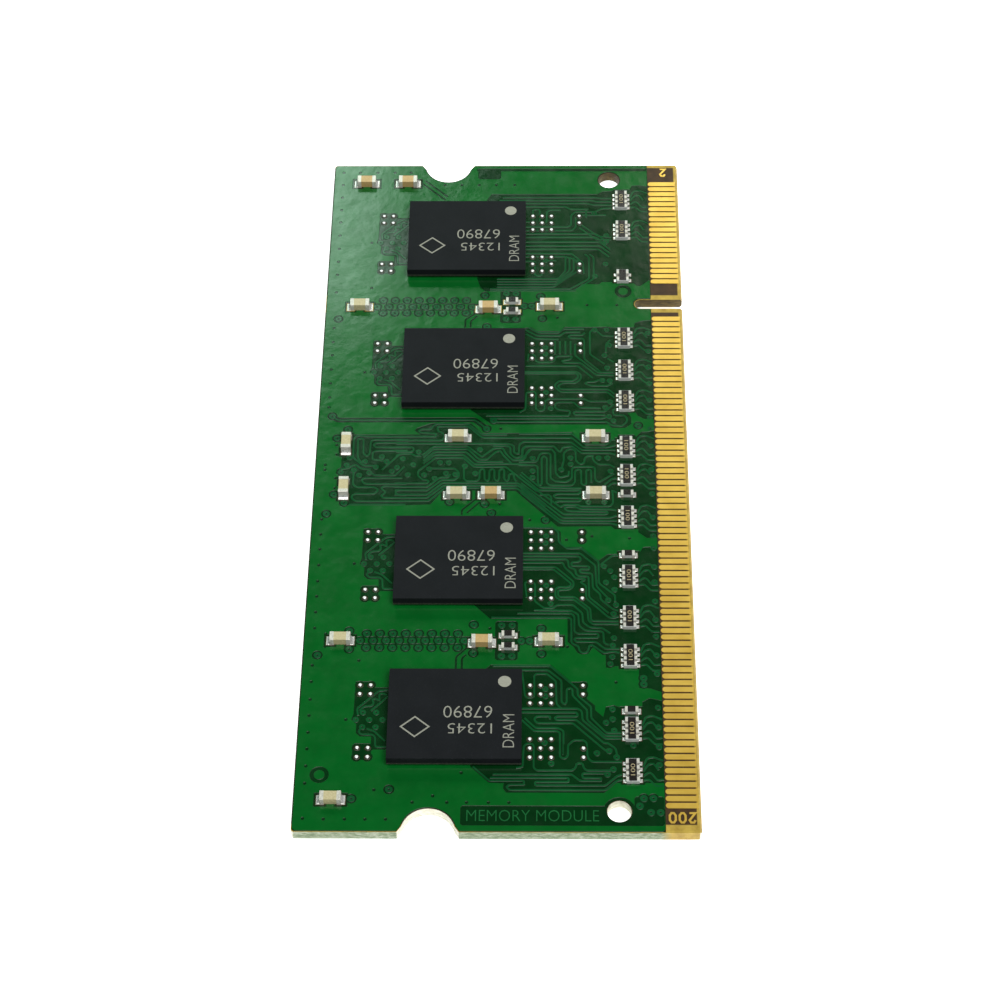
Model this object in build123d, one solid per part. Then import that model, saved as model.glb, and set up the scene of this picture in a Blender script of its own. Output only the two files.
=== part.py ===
from build123d import *
import os

# A 200-contact small-outline memory module, in millimetres.
# X runs along the board, Y across it from the contact edge, Z out of the even-numbered face.
# The origin is the middle of the contact edge, half-way through the laminate.

# Laminate board
board_length = 67.6
board_width = 30.0
laminate_thickness = 0.94
corner_radius = 0.25
bevel_height = 0.20
bevel_width = 0.15
notch_radius = 2.0
notch_y = 20.0
notch_mouth_depth = 0.50
notch_mouth_flare = 0.28
tooling_hole_radius = 0.9
tooling_hole_x = 32.0
tooling_hole_y = 6.0
key_slot_x = 17.55
key_slot_width = 1.0
key_slot_depth = 4.0

# Copper planes sealed in the laminate
plane_thickness = 0.035
plane_setback = 0.5
plane_edge_y = 3.4
ground_plane_z = 0.20
power_plane_z = -0.20

# Solder mask and copper lands, which both finish flush
mask_thickness = 0.03
mask_setback = 0.05
mask_edge_y = 2.65
window_margin = 0.06
spare_window_margin = 0.04
face_z = laminate_thickness / 2 + mask_thickness

# Gold edge contacts: a short row and a long row with the key slot between them
contact_width = 0.45
contact_pitch = 0.60
contact_thickness = 0.04
contact_start_y = 0.25
contact_end_y = 2.60
short_row_x = 31.5
short_row_count = 20
long_row_x = 15.9
long_row_count = 80

# Ball-grid memory packages
chip_xs = (-24.2, -9.7, 9.9, 24.45)
chip_y = 18.2
chip_length = 8.0
chip_width = 10.0
substrate_thickness = 0.20
mould_thickness = 0.60
die_length = 6.6
die_width = 8.4
die_thickness = 0.28
ball_radius = 0.225
ball_standoff = 0.30
ball_pitch = 0.80
ball_columns = (-3.2, -2.4, -1.6, 1.6, 2.4, 3.2)
ball_rows = 11
full_ball_rows = 5
land_radius = 0.21

# Spare ball lands outside each package, as rows above the contact edge
spare_rows_six_wide = (11.0, 11.8, 12.6)
spare_rows_four_wide = (8.6, 24.65, 25.45)
dome_height = 0.13

# Chip capacitors
capacitor_length = 1.6
capacitor_width = 0.8
capacitor_height = 0.7
capacitor_cap_length = 0.32
capacitor_cap_wall = 0.025
capacitor_edge_radius = 0.05
along_x = 0
along_y = 90
pale_capacitors_even = (
    (-31.1, 27.2, along_y), (-16.9, 27.15, along_y), (-2.2, 27.57, along_x), (2.35, 27.57, along_x),
    (17.2, 27.1, along_y), (-2.8, 18.55, along_y), (3.05, 18.55, along_y), (-16.94, 11.2, along_y),
    (17.26, 11.15, along_y), (-2.77, 7.45, along_y), (3.05, 7.45, along_y),
)
amber_capacitors_even = (
    (31.55, 27.1, along_y), (31.55, 23.5, along_y), (-17.1, 16.3, along_y), (16.95, 16.3, along_y),
    (-2.78, 15.8, along_y),
)
capacitors_odd = (
    (-31.1, 27.2, along_y), (-16.9, 27.15, along_y), (17.2, 27.1, along_y), (31.55, 27.1, along_y),
    (-17.1, 16.3, along_y), (16.95, 16.3, along_y), (-16.94, 11.2, along_y), (17.26, 11.15, along_y),
    (-4.2, 12.6, along_y), (4.4, 12.6, along_y), (-2.77, 7.45, along_y), (3.05, 7.45, along_y),
    (-2.2, 27.57, along_x), (2.35, 27.57, along_x),
)

# Resistor arrays: several elements side by side along X, with terminals on both long sides
array_width = 1.0
array_base_height = 0.35
array_row_y = 4.97
element_pitch = 0.50
element_count = 4
element_terminal_width = 0.30
element_terminal_depth = 0.20
small_array_pitch = 0.65
small_array_x = 20.52
overcoat_width = 0.58
overcoat_height = 0.05
array_xs = (-28.65, -25.0, -18.4, -14.8, -10.9, -5.1, -0.9, 2.0, 6.8, 10.1, 13.6, 25.85, 29.4)

# Single chip resistors, all lying along Y
resistor_width = 0.5
resistors_even = (
    (-23.3, 4.97), (-8.75, 4.97), (-2.75, 4.97),
    (-17.5, 14.3), (-16.4, 14.3), (16.65, 14.3), (17.75, 14.3),
)
resistors_odd = ((-23.3, 4.97), (-8.75, 4.97), (4.9, 23.2), (-4.9, 23.2))

# Solder joints
capacitor_joint = (0.22, 0.70, 0.30)
element_joint = (0.17, 0.24, 0.22)
resistor_joint = (0.16, 0.40, 0.24)
land_overhang = 0.05

# Configuration memory on the odd face, an 8-lead package
eeprom_x = 0.2
eeprom_y = 18.6
eeprom_length = 3.0
eeprom_width = 4.4
eeprom_thickness = 0.85
eeprom_standoff = 0.10
eeprom_die = (1.1, 1.5, 0.25)
eeprom_paddle = (1.7, 2.4, 0.13)
lead_pitch = 0.65
lead_count = 4
lead_width = 0.25
lead_thickness = 0.13
lead_span = 6.4
lead_foot_length = 0.60

# Pin numbers left as bare plated copper
digit_height = 0.80
digit_width = 0.43
digit_stroke = 0.16
digit_advance = 0.72
mark_thickness = 0.03
near_mark_inset = 1.27
near_mark_y = 0.47
far_mark_inset = 0.90
far_mark_y = 1.08


def export_node(name, solids):
    """Write one sub-part, as a single solid or as a group of separate solids."""
    shape = solids[0] if len(solids) == 1 else Compound(solids)
    export_step(shape, f"parts/{name}.step")


def flip(solids):
    """The same solids on the odd face, opposite those on the even face."""
    return [mirror(solid, about=Plane.XY) for solid in solids]


def moved_to(solids, x, y, turn=0):
    """Copies of solids that were built over the origin, standing on the even face."""
    place = Pos(x, y, face_z) * Rot(0, 0, turn)
    return [place * solid for solid in solids]


def block(length, width, height, x=0.0, y=0.0, z=0.0):
    """A box with its bottom face centred on a point."""
    return Pos(x, y, z) * Box(length, width, height, align=(Align.CENTER, Align.CENTER, Align.MIN))


def notch(radius):
    """The round notch at a board's end, a little wider where it opens."""
    half = (radius ** 2 - notch_mouth_depth ** 2) ** 0.5
    mouth = radius + notch_mouth_flare
    depth = notch_mouth_depth
    wedge = Polyline((0, mouth), (-depth, half), (-depth, -half), (0, -mouth), close=True)
    return Circle(radius) + make_face(wedge)


def outline(setback=0.0):
    """The board's outline with its notches, holes and key slot, drawn in by a setback."""
    plate = Rectangle(board_length - 2 * setback, board_width - 2 * setback)
    plate = Pos(0, board_width / 2) * fillet(plate.vertices(), corner_radius)
    opening = Pos(board_length / 2, notch_y) * notch(notch_radius + setback)
    plate = plate - opening - mirror(opening, about=Plane.YZ)
    for side in (-1, 1):
        plate -= Pos(side * tooling_hole_x, tooling_hole_y) * Circle(tooling_hole_radius + setback)
    slot = SlotOverall(2 * (key_slot_depth + setback), key_slot_width + 2 * setback)
    return plate - Pos(key_slot_x, 0) * Rot(0, 0, 90) * slot


def below_line(y):
    """A face that covers the board from its contact edge up to a line."""
    return Pos(0, y / 2 - 1) * Rectangle(board_length + 2, y + 2)


def inner_plane(centre_z):
    """A copper plane inside the laminate, clear of every edge and of the contacts."""
    face = outline(plane_setback) - below_line(plane_edge_y)
    return extrude(Pos(0, 0, centre_z - plane_thickness / 2) * face, plane_thickness)


def edge_bevel():
    """The wedge that comes off the contact edge on the even face."""
    top = laminate_thickness / 2
    corner = Polyline((0, top), (bevel_width, top), (0, top - bevel_height), close=True)
    return extrude(Plane.YZ * make_face(corner), board_length / 2, both=True)


def board_laminate(planes):
    """The laminate, with a sealed space for each inner plane."""
    core = extrude(Pos(0, 0, -laminate_thickness / 2) * outline(), laminate_thickness)
    core -= edge_bevel()
    core -= mirror(edge_bevel(), about=Plane.XY)
    for plane in planes:
        core -= plane
    return core


def contact_xs():
    """Where the contacts lie along the board."""
    short_row = [short_row_x - step * contact_pitch for step in range(short_row_count)]
    long_row = [long_row_x - step * contact_pitch for step in range(long_row_count)]
    return short_row + long_row


def edge_contacts():
    """The gold contacts of the even face, each with a rounded inner end."""
    radius = contact_width / 2
    straight = contact_end_y - radius - contact_start_y
    face = Pos(0, contact_start_y + straight / 2) * Rectangle(contact_width, straight)
    face += Pos(0, contact_end_y - radius) * Circle(radius)
    contact = extrude(face, contact_thickness)
    return [Pos(x, 0, laminate_thickness / 2) * contact for x in contact_xs()]


def ball_places():
    """Ball centres from a package's centre: five full rows, then rows with one end left out."""
    places = []
    for row in range(ball_rows):
        y = (row - (ball_rows - 1) / 2) * ball_pitch
        for column in ball_columns:
            missing_column = ball_columns[0] if row % 2 else ball_columns[-1]
            if row < ball_rows - full_ball_rows and column == missing_column:
                continue
            places.append((column, y))
    return places


def spare_places():
    """Centres of the lands that a package leaves bare, as X from its centre and Y on the board."""
    inner = [c for c in ball_columns if abs(c) > ball_pitch * 2.5]
    six_wide = [(x, y) for y in spare_rows_six_wide for x in ball_columns]
    four_wide = [(x, y) for y in spare_rows_four_wide for x in inner]
    return six_wide + four_wide


def solder_ball():
    """A reflowed ball, flattened where it meets the land and the package."""
    sphere = Pos(0, 0, ball_standoff / 2) * Sphere(ball_radius)
    return sphere & block(1, 1, ball_standoff)


def solder_dome():
    """The low dome of solder on a bare land."""
    sphere_radius = (land_radius ** 2 + dome_height ** 2) / (2 * dome_height)
    sphere = Pos(0, 0, dome_height - sphere_radius) * Sphere(sphere_radius)
    return sphere & block(1, 1, dome_height)


def memory_package():
    """One package as its mould, substrate, die and balls, standing on its balls."""
    substrate = block(chip_length, chip_width, substrate_thickness, z=ball_standoff)
    mould_z = ball_standoff + substrate_thickness
    die = block(die_length, die_width, die_thickness, z=mould_z)
    mould = block(chip_length, chip_width, mould_thickness, z=mould_z) - die
    balls = [Pos(x, y, 0) * solder_ball() for x, y in ball_places()]
    return mould, substrate, die, balls


def solder_joint(length, width, height):
    """A concave wedge of solder that climbs a terminal, growing out along +X."""
    hollow = (length * 0.36, height * 0.30)
    slope = ThreePointArc((length, 0), hollow, (0, height))
    profile = make_face([slope, Line((0, height), (0, 0)), Line((0, 0), (length, 0))])
    return extrude(Plane.XZ * profile, width / 2, both=True)


def end_pair(solid, reach):
    """A solid at each end of a part that lies along X."""
    return [Pos(reach, 0, 0) * solid, Rot(0, 0, 180) * Pos(reach, 0, 0) * solid]


def land(length, width):
    """A rectangular land whose top is level with the face."""
    return block(length, width, mask_thickness, z=-mask_thickness)


def capacitor():
    """A ceramic block along X, its two plated caps, lands and joints."""
    wall = capacitor_cap_wall
    body = block(capacitor_length - 2 * wall, capacitor_width - 2 * wall, capacitor_height - 2 * wall, z=wall)
    shell = block(capacitor_length, capacitor_width, capacitor_height)
    shell = fillet(shell.edges(), capacitor_edge_radius)
    gap = block(capacitor_length - 2 * capacitor_cap_length, 2, 2, z=-0.5)
    terminals = (shell - body - gap).solids()
    joint = solder_joint(*capacitor_joint)
    joints = end_pair(joint, capacitor_length / 2)
    land_length = capacitor_cap_length + capacitor_joint[0] + land_overhang
    middle = capacitor_length / 2 - capacitor_cap_length + land_length / 2
    lands = end_pair(land(land_length, capacitor_joint[1] + 2 * land_overhang), middle)
    return [body], list(terminals), joints, lands


def resistor_array(count, pitch):
    """An array of resistors side by side along X: base, overcoat, terminals, joints and lands."""
    base = block(count * pitch, array_width, array_base_height)
    terminals = []
    joints = []
    lands = []
    joint = Rot(0, 0, 90) * solder_joint(*element_joint)
    land_length = element_terminal_depth + element_joint[0] + land_overhang
    pad = land(element_terminal_width, land_length)
    terminal_y = (array_width - element_terminal_depth) / 2
    pad_y = array_width / 2 - element_terminal_depth + land_length / 2
    for step in range(count):
        x = (step - (count - 1) / 2) * pitch
        for turn in (0, 180):
            spin = Rot(0, 0, turn)
            terminals.append(spin * block(element_terminal_width, element_terminal_depth,
                                          array_base_height, x, terminal_y))
            joints.append(spin * Pos(x, array_width / 2, 0) * joint)
            lands.append(spin * Pos(x, pad_y, 0) * pad)
    for terminal in terminals:
        base -= terminal
    for step in range(count - 1):
        x = (step + 1 - count / 2) * pitch
        for y in (terminal_y, -terminal_y):
            base -= block(pitch - element_terminal_width, element_terminal_depth,
                          array_base_height, x, y)
    overcoat = block(count * pitch - 0.1, overcoat_width, overcoat_height, z=array_base_height)
    return [base], [overcoat], terminals, joints, lands


def single_resistor():
    """A chip resistor along Y: base, overcoat, terminals, joints and lands."""
    base = block(resistor_width, array_width, array_base_height)
    terminal_y = (array_width - element_terminal_depth) / 2
    terminal = block(resistor_width, element_terminal_depth, array_base_height, 0, terminal_y)
    terminals = [terminal, Rot(0, 0, 180) * terminal]
    for end in terminals:
        base -= end
    overcoat = block(resistor_width, overcoat_width, overcoat_height, z=array_base_height)
    joint = Rot(0, 0, 90) * Pos(array_width / 2, 0, 0) * solder_joint(*resistor_joint)
    land_length = element_terminal_depth + resistor_joint[0] + land_overhang
    pad_y = array_width / 2 - element_terminal_depth + land_length / 2
    pad = Pos(0, pad_y, 0) * land(resistor_width, land_length)
    joints = [joint, Rot(0, 0, 180) * joint]
    lands = [pad, Rot(0, 0, 180) * pad]
    return [base], [overcoat], terminals, joints, lands


def eeprom_lead():
    """One gull-wing lead, from the package's side at +Y down to its foot."""
    bend_z = eeprom_standoff + eeprom_thickness / 2
    start_y = eeprom_width / 2
    foot_y = lead_span / 2 - lead_foot_length
    shoulder_y = start_y + 0.2
    half = lead_thickness / 2
    path = Polyline((start_y, bend_z), (shoulder_y, bend_z), (foot_y, half), (lead_span / 2, half))
    profile = offset(path, half, side=Side.BOTH, kind=Kind.INTERSECTION)
    bar = extrude(Plane.YZ * make_face(profile), lead_width / 2, both=True)
    return bar & block(1, 1, 1, 0, start_y + 0.5)


def eeprom():
    """The configuration memory: case, die, paddle, leads and lands."""
    case = block(eeprom_length, eeprom_width, eeprom_thickness, z=eeprom_standoff)
    paddle_z = eeprom_standoff + 0.25
    paddle = block(*eeprom_paddle, z=paddle_z)
    die = block(*eeprom_die, z=paddle_z + eeprom_paddle[2])
    case = case - paddle - die
    leads = []
    lands = []
    for step in range(lead_count):
        x = (step - (lead_count - 1) / 2) * lead_pitch
        for turn in (0, 180):
            spin = Rot(0, 0, turn)
            leads.append(spin * Pos(x, 0, 0) * eeprom_lead())
            pad = land(lead_width + 0.1, lead_foot_length + 0.3)
            lands.append(spin * Pos(x, (lead_span - lead_foot_length) / 2, 0) * pad)
    return [case], [paddle], [die], leads, lands


def digit_path(digit):
    """The centre line of a digit in a cell one wide and one high."""
    paths = {
        "0": [(0, 0.25), (0.3, 0), (0.7, 0), (1, 0.25), (1, 0.75), (0.7, 1), (0.3, 1), (0, 0.75), (0, 0.25)],
        "1": [(0.1, 0.75), (0.5, 1), (0.5, 0)],
        "2": [(0, 0.75), (0.25, 1), (0.75, 1), (1, 0.75), (0, 0), (1, 0)],
        "9": [(0.1, 0), (0.6, 0), (1, 0.3), (1, 0.75), (0.7, 1), (0.3, 1), (0, 0.75), (0.3, 0.45),
              (0.6, 0.45)],
    }
    return [(x * digit_width, y * digit_height) for x, y in paths[digit]]


def pin_number(text, place):
    """A number in flat strokes, starting at a placed plane's origin."""
    solids = []
    for index, digit in enumerate(text):
        stroke = trace(Polyline(*digit_path(digit)), line_width=digit_stroke)
        solids.append(place * Pos(index * digit_advance, 0, 0) * extrude(stroke, mark_thickness))
    return solids


def small_parts(parts, places):
    """Copies of each of a part's groups of solids at every place."""
    return [
        [solid for x, y, turn in places for solid in moved_to(group, x, y, turn)]
        for group in parts
    ]


def window(land_solid):
    """The opening in the mask round one land."""
    box = land_solid.bounding_box()
    size_x = box.size.X + 2 * window_margin
    size_y = box.size.Y + 2 * window_margin
    return Pos(box.center().X, box.center().Y) * Rectangle(size_x, size_y)


def spare_windows():
    """A round opening in the mask over every spare land."""
    opening = Circle(land_radius + spare_window_margin)
    return [Pos(chip_x + x, y) * opening for chip_x in chip_xs for x, y in spare_places()]


def solder_mask(lands):
    """The mask of the even face, open at the contacts and over every land."""
    face = outline(mask_setback) - below_line(mask_edge_y)
    face -= spare_windows() + [window(item) for item in lands]
    return extrude(Pos(0, 0, laminate_thickness / 2) * face, mask_thickness)


def spare_lands():
    """A round copper land at every spare place, and the dome of solder on it."""
    disc = Cylinder(land_radius, mask_thickness, align=(Align.CENTER, Align.CENTER, Align.MAX))
    dome = solder_dome()
    places = [Pos(chip_x + x, y, face_z) for chip_x in chip_xs for x, y in spare_places()]
    return [place * disc for place in places], [place * dome for place in places]


def write_board():
    """The laminate, its planes and the contacts of both faces."""
    ground = inner_plane(ground_plane_z)
    power = inner_plane(power_plane_z)
    export_node("board_laminate", [board_laminate([ground, power])])
    export_node("inner_ground_plane", [ground])
    export_node("inner_power_plane", [power])
    contacts = edge_contacts()
    export_node("edge_contacts_even", contacts)
    export_node("edge_contacts_odd", flip(contacts))
    near_x = near_mark_inset - board_length / 2
    far_x = board_length / 2 - far_mark_inset
    top = laminate_thickness / 2
    half = digit_height / 2
    even_marks = pin_number("200", Location((near_x + half, near_mark_y, top), (0, 0, 90)))
    even_marks += pin_number("2", Location((far_x + half, far_mark_y, top), (0, 0, 90)))
    export_node("pin_number_marks_even", even_marks)
    odd_marks = pin_number("199", Location((near_x - half, near_mark_y, -top), (180, 0, -90)))
    odd_marks += pin_number("1", Location((far_x - half, far_mark_y, -top), (180, 0, -90)))
    export_node("pin_number_marks_odd", odd_marks)


def write_memory_packages():
    """Eight packages, four on each face, and the dies inside them."""
    mould, substrate, die, balls = memory_package()
    dies = []
    for index, chip_x in enumerate(chip_xs):
        parts = small_parts([[mould], [substrate], [die], balls], [(chip_x, chip_y, 0)])
        dies += parts.pop(2)
        for group, piece in zip(parts, ("mould", "substrate", "balls")):
            export_node(f"memory_chip_{index + 1}_{piece}", group)
            export_node(f"memory_chip_{index + 1 + len(chip_xs)}_{piece}", flip(group))
    export_node("memory_dies_even", dies)
    export_node("memory_dies_odd", flip(dies))


def write_small_parts():
    """Capacitors, resistors, the configuration memory, their lands and joints, and the masks."""
    pale = small_parts(capacitor(), pale_capacitors_even)
    amber = small_parts(capacitor(), amber_capacitors_even)
    hidden = small_parts(capacitor(), capacitors_odd)
    array_places = [(x, array_row_y, 0) for x in array_xs]
    arrays = small_parts(resistor_array(element_count, element_pitch), array_places)
    pair = small_parts(resistor_array(2, small_array_pitch), [(small_array_x, array_row_y, 0)])
    singles_even = small_parts(single_resistor(), [(x, y, 0) for x, y in resistors_even])
    singles_odd = small_parts(single_resistor(), [(x, y, 0) for x, y in resistors_odd])
    memory = small_parts(eeprom(), [(eeprom_x, eeprom_y, 0)])

    export_node("capacitor_bodies_pale_even", pale[0])
    export_node("capacitor_bodies_amber_even", amber[0])
    export_node("capacitor_terminals_even", pale[1] + amber[1])
    export_node("capacitor_bodies_odd", flip(hidden[0]))
    export_node("capacitor_terminals_odd", flip(hidden[1]))
    for index, piece in enumerate(("bases", "overcoats", "terminals")):
        export_node(f"resistor_{piece}_even", arrays[index] + pair[index] + singles_even[index])
        export_node(f"resistor_{piece}_odd", flip(arrays[index] + singles_odd[index]))
    export_node("solder_joints_even", pale[2] + amber[2] + arrays[3] + pair[3] + singles_even[3])
    export_node("solder_joints_odd", flip(hidden[2] + arrays[3] + singles_odd[3]))
    for index, piece in enumerate(("case", "paddle", "die", "leads")):
        export_node(f"eeprom_{piece}", flip(memory[index]))

    even_lands = pale[3] + amber[3] + arrays[4] + pair[4] + singles_even[4]
    odd_lands = hidden[3] + arrays[4] + singles_odd[4] + memory[4]
    round_lands, domes = spare_lands()
    export_node("copper_lands_even", even_lands + round_lands)
    export_node("copper_lands_odd", flip(odd_lands + round_lands))
    export_node("spare_land_domes_even", domes)
    export_node("spare_land_domes_odd", flip(domes))
    export_node("solder_mask_even", [solder_mask(even_lands)])
    export_node("solder_mask_odd", flip([solder_mask(odd_lands)]))


os.makedirs("parts", exist_ok=True)
write_board()
write_memory_packages()
write_small_parts()
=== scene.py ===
import math

import bmesh
import bpy
from mathutils import Matrix, Vector
from mathutils.geometry import delaunay_2d_cdt


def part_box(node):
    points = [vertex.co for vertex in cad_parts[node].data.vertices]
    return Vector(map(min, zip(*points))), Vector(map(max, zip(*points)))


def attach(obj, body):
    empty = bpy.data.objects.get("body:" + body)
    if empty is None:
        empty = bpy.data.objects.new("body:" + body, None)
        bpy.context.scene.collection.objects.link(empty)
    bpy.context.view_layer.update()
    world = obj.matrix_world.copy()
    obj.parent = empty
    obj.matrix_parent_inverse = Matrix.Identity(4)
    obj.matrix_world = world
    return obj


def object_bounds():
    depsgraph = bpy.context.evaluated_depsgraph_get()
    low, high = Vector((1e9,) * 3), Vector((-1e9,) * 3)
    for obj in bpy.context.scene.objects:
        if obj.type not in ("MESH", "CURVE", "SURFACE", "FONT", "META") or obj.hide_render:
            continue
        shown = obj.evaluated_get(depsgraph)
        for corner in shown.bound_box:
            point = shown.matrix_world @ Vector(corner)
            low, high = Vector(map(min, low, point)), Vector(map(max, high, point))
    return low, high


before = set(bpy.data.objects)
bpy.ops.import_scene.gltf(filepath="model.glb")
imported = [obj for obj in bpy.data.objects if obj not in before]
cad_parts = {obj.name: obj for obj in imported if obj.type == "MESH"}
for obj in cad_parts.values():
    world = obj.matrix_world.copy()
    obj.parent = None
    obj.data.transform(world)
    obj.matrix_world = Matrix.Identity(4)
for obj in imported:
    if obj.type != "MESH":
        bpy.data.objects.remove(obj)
cad_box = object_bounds()

# X runs along the board, Y across it from the contact edge, and Z up from the middle of its thickness.
# Lengths are millimetres here, and mm turns them into the frame's metres.
mm = 0.001
board_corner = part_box("board_laminate")[1]
half_length = board_corner[0] / mm
board_width = board_corner[1] / mm
face_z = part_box("solder_mask_even")[1][2] / mm
table_z = cad_box[0][2] / mm - 0.004

# The copper under the mask stands a little above the bare board.
relief_height = 0.022
relief_slope = 0.045
relief_sink = 0.006

# The copper artwork: widths of tracks and of the channels cut through a pour, and radii of its round parts.
track_width = 0.13
channel_width = 0.17
wide_channel = 0.5
pour_inset = 0.10
pour_low_y = 2.68
land_gap = 0.2
land_window_gap = 0.08
widest_round_land = 0.7
ring_gap_radius, ring_radius, ring_drill = 0.42, 0.28, 0.09
via_radius, via_drill = 0.24, 0.08
dimple_radius = 0.14
fiducial_gap_radius, fiducial_radius = 0.72, 0.40

# The row of resistor arrays: its y, and the x of each array's centre.
array_row_y = 4.97
array_xs = (-28.65, -25, -18.4, -14.8, -10.9, -5.1, -0.9, 2, 6.8, 10.1, 13.6, 25.85, 29.4)

# How far printed marks go into the surface under them, and stand above it.
ink_depth = 0.002

# How level the solder on a spare land is at the edge of its painted shade, a dark rim, and where its painted
# highlight, a bright top, begins.
dome_shade_span = (0.62, 0.80)

# Where the camera is, its angles in degrees and its lens.
camera_place = (-136.347, 11.141, 172.693 + face_z)
camera_angles = (-1.6952, 52.3726, -1.2862)
camera_lens = 98.67

chip_boxes = [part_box(f"memory_chip_{index}_mould") for index in (1, 2, 3, 4)]
chip_xs = [(low[0] + high[0]) / 2 / mm for low, high in chip_boxes]


# ---------------------------------------------------------------- materials

def new_material(name):
    """An empty node material and its shader."""
    material = bpy.data.materials.new(name)
    material.use_nodes = True
    shader = material.node_tree.nodes["Principled BSDF"]
    return material, material.node_tree, shader


def add_node(tree, kind, **values):
    """A node with its properties and its inputs set by name."""
    node = tree.nodes.new(kind)
    for name, value in values.items():
        if name in node.inputs:
            node.inputs[name].default_value = value
        else:
            setattr(node, name, value)
    return node


def object_point(tree):
    """Object coordinates, which for every piece here are the frame's metres."""
    return add_node(tree, "ShaderNodeTexCoord").outputs["Object"]


def noise(tree, scale, detail=3.0, roughness=0.5, stretch=None):
    """Noise whose scale counts features in a millimetre."""
    node = add_node(tree, "ShaderNodeTexNoise", Scale=scale / mm, Detail=detail, Roughness=roughness)
    point = object_point(tree)
    if stretch:
        mapping = add_node(tree, "ShaderNodeMapping", Scale=stretch)
        tree.links.new(point, mapping.inputs["Vector"])
        point = mapping.outputs["Vector"]
    tree.links.new(point, node.inputs["Vector"])
    return node.outputs["Fac"]


def ramp(tree, source, stops):
    """A colour ramp through (position, colour) stops."""
    node = tree.nodes.new("ShaderNodeValToRGB")
    elements = node.color_ramp.elements
    while len(elements) < len(stops):
        elements.new(0.5)
    for element, (position, colour) in zip(elements, stops):
        element.position = position
        element.color = (*colour, 1.0)
    tree.links.new(source, node.inputs["Fac"])
    return node.outputs["Color"]


def tones(tree, source, dark, light):
    """Two tones that meet over the middle of a noise."""
    return ramp(tree, source, [(0.3, dark), (0.7, light)])


def mix(tree, factor, first, second):
    """One colour over another, where factor and the colours may be sockets or values."""
    node = tree.nodes.new("ShaderNodeMix")
    node.data_type = "RGBA"
    for socket, value in ((node.inputs[0], factor), (node.inputs[6], first), (node.inputs[7], second)):
        if isinstance(value, bpy.types.NodeSocket):
            tree.links.new(value, socket)
        elif isinstance(value, (tuple, list)):
            socket.default_value = (*value, 1.0)
        else:
            socket.default_value = value
    return node.outputs[2]


def spread(tree, source, low, high, out_low, out_high):
    """Maps one range of values onto another."""
    node = tree.nodes.new("ShaderNodeMapRange")
    for name, value in (("From Min", low), ("From Max", high), ("To Min", out_low), ("To Max", out_high)):
        node.inputs[name].default_value = value
    tree.links.new(source, node.inputs["Value"])
    return node.outputs["Result"]


def bump(tree, shader, source, depth, below=None):
    """Bump of a depth in millimetres, on top of another bump if one is given."""
    node = add_node(tree, "ShaderNodeBump", Strength=1.0, Distance=depth * mm)
    tree.links.new(source, node.inputs["Height"])
    if below:
        tree.links.new(below, node.inputs["Normal"])
    tree.links.new(node.outputs["Normal"], shader.inputs["Normal"])
    return node.outputs["Normal"]


def axis_value(tree, axis):
    """One coordinate of the surface point, in metres."""
    node = tree.nodes.new("ShaderNodeSeparateXYZ")
    tree.links.new(object_point(tree), node.inputs["Vector"])
    return node.outputs[axis]


def paint(tree, shader, colour, source, low, high, end=0.7):
    """The base colour, and a roughness from low to high over the middle of a noise."""
    tree.links.new(colour, shader.inputs["Base Color"])
    tree.links.new(spread(tree, source, 0.3, end, low, high), shader.inputs["Roughness"])


def set_shader(shader, **values):
    """Constant values on the shader's own sockets, with _ for each space in a socket's name."""
    for name, value in values.items():
        shader.inputs[name.replace("_", " ")].default_value = value


def mask_material(name, dark, light, weave, coat=0.35, gloss=(0.17, 0.26)):
    """Semi-gloss solder mask: cloudy green, with a trace of the glass weave and a slightly uneven surface."""
    material, tree, shader = new_material(name)
    cloud = noise(tree, 0.35, 4.0, 0.6)
    colour = tones(tree, cloud, dark, light)
    fine = noise(tree, 2.4, 2.0)
    colour = mix(tree, spread(tree, fine, 0.35, 0.75, 0.0, weave), colour, tuple(1.7 * c for c in light))
    paint(tree, shader, colour, noise(tree, 0.9), *gloss)
    set_shader(shader, Specular_IOR_Level=0.3, Coat_Weight=coat, Coat_Roughness=0.12)
    wave = bump(tree, shader, noise(tree, 0.8, 2.0), 0.035)
    bump(tree, shader, noise(tree, 7.0, 2.0), 0.0015, below=wave)
    return material


def combine(tree, operation, *sources):
    """One arithmetic operation over two or more sockets."""
    result = sources[0]
    for source in sources[1:]:
        node = add_node(tree, "ShaderNodeMath", operation=operation)
        tree.links.new(result, node.inputs[0])
        tree.links.new(source, node.inputs[1])
        result = node.outputs[0]
    return result


def beyond(tree, source, place, rising=True, blur=0.04):
    """Zero on one side of a place in millimetres and one on the other."""
    low, high = (0.0, 1.0) if rising else (1.0, 0.0)
    return spread(tree, source, (place - blur) * mm, (place + blur) * mm, low, high)


def level_share(tree):
    """One where the surface is level and zero where it is a wall."""
    normal = tree.nodes.new("ShaderNodeNewGeometry")
    parts = tree.nodes.new("ShaderNodeSeparateXYZ")
    tree.links.new(normal.outputs["Normal"], parts.inputs["Vector"])
    return combine(tree, "MULTIPLY", parts.outputs["Z"], parts.outputs["Z"])


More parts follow.
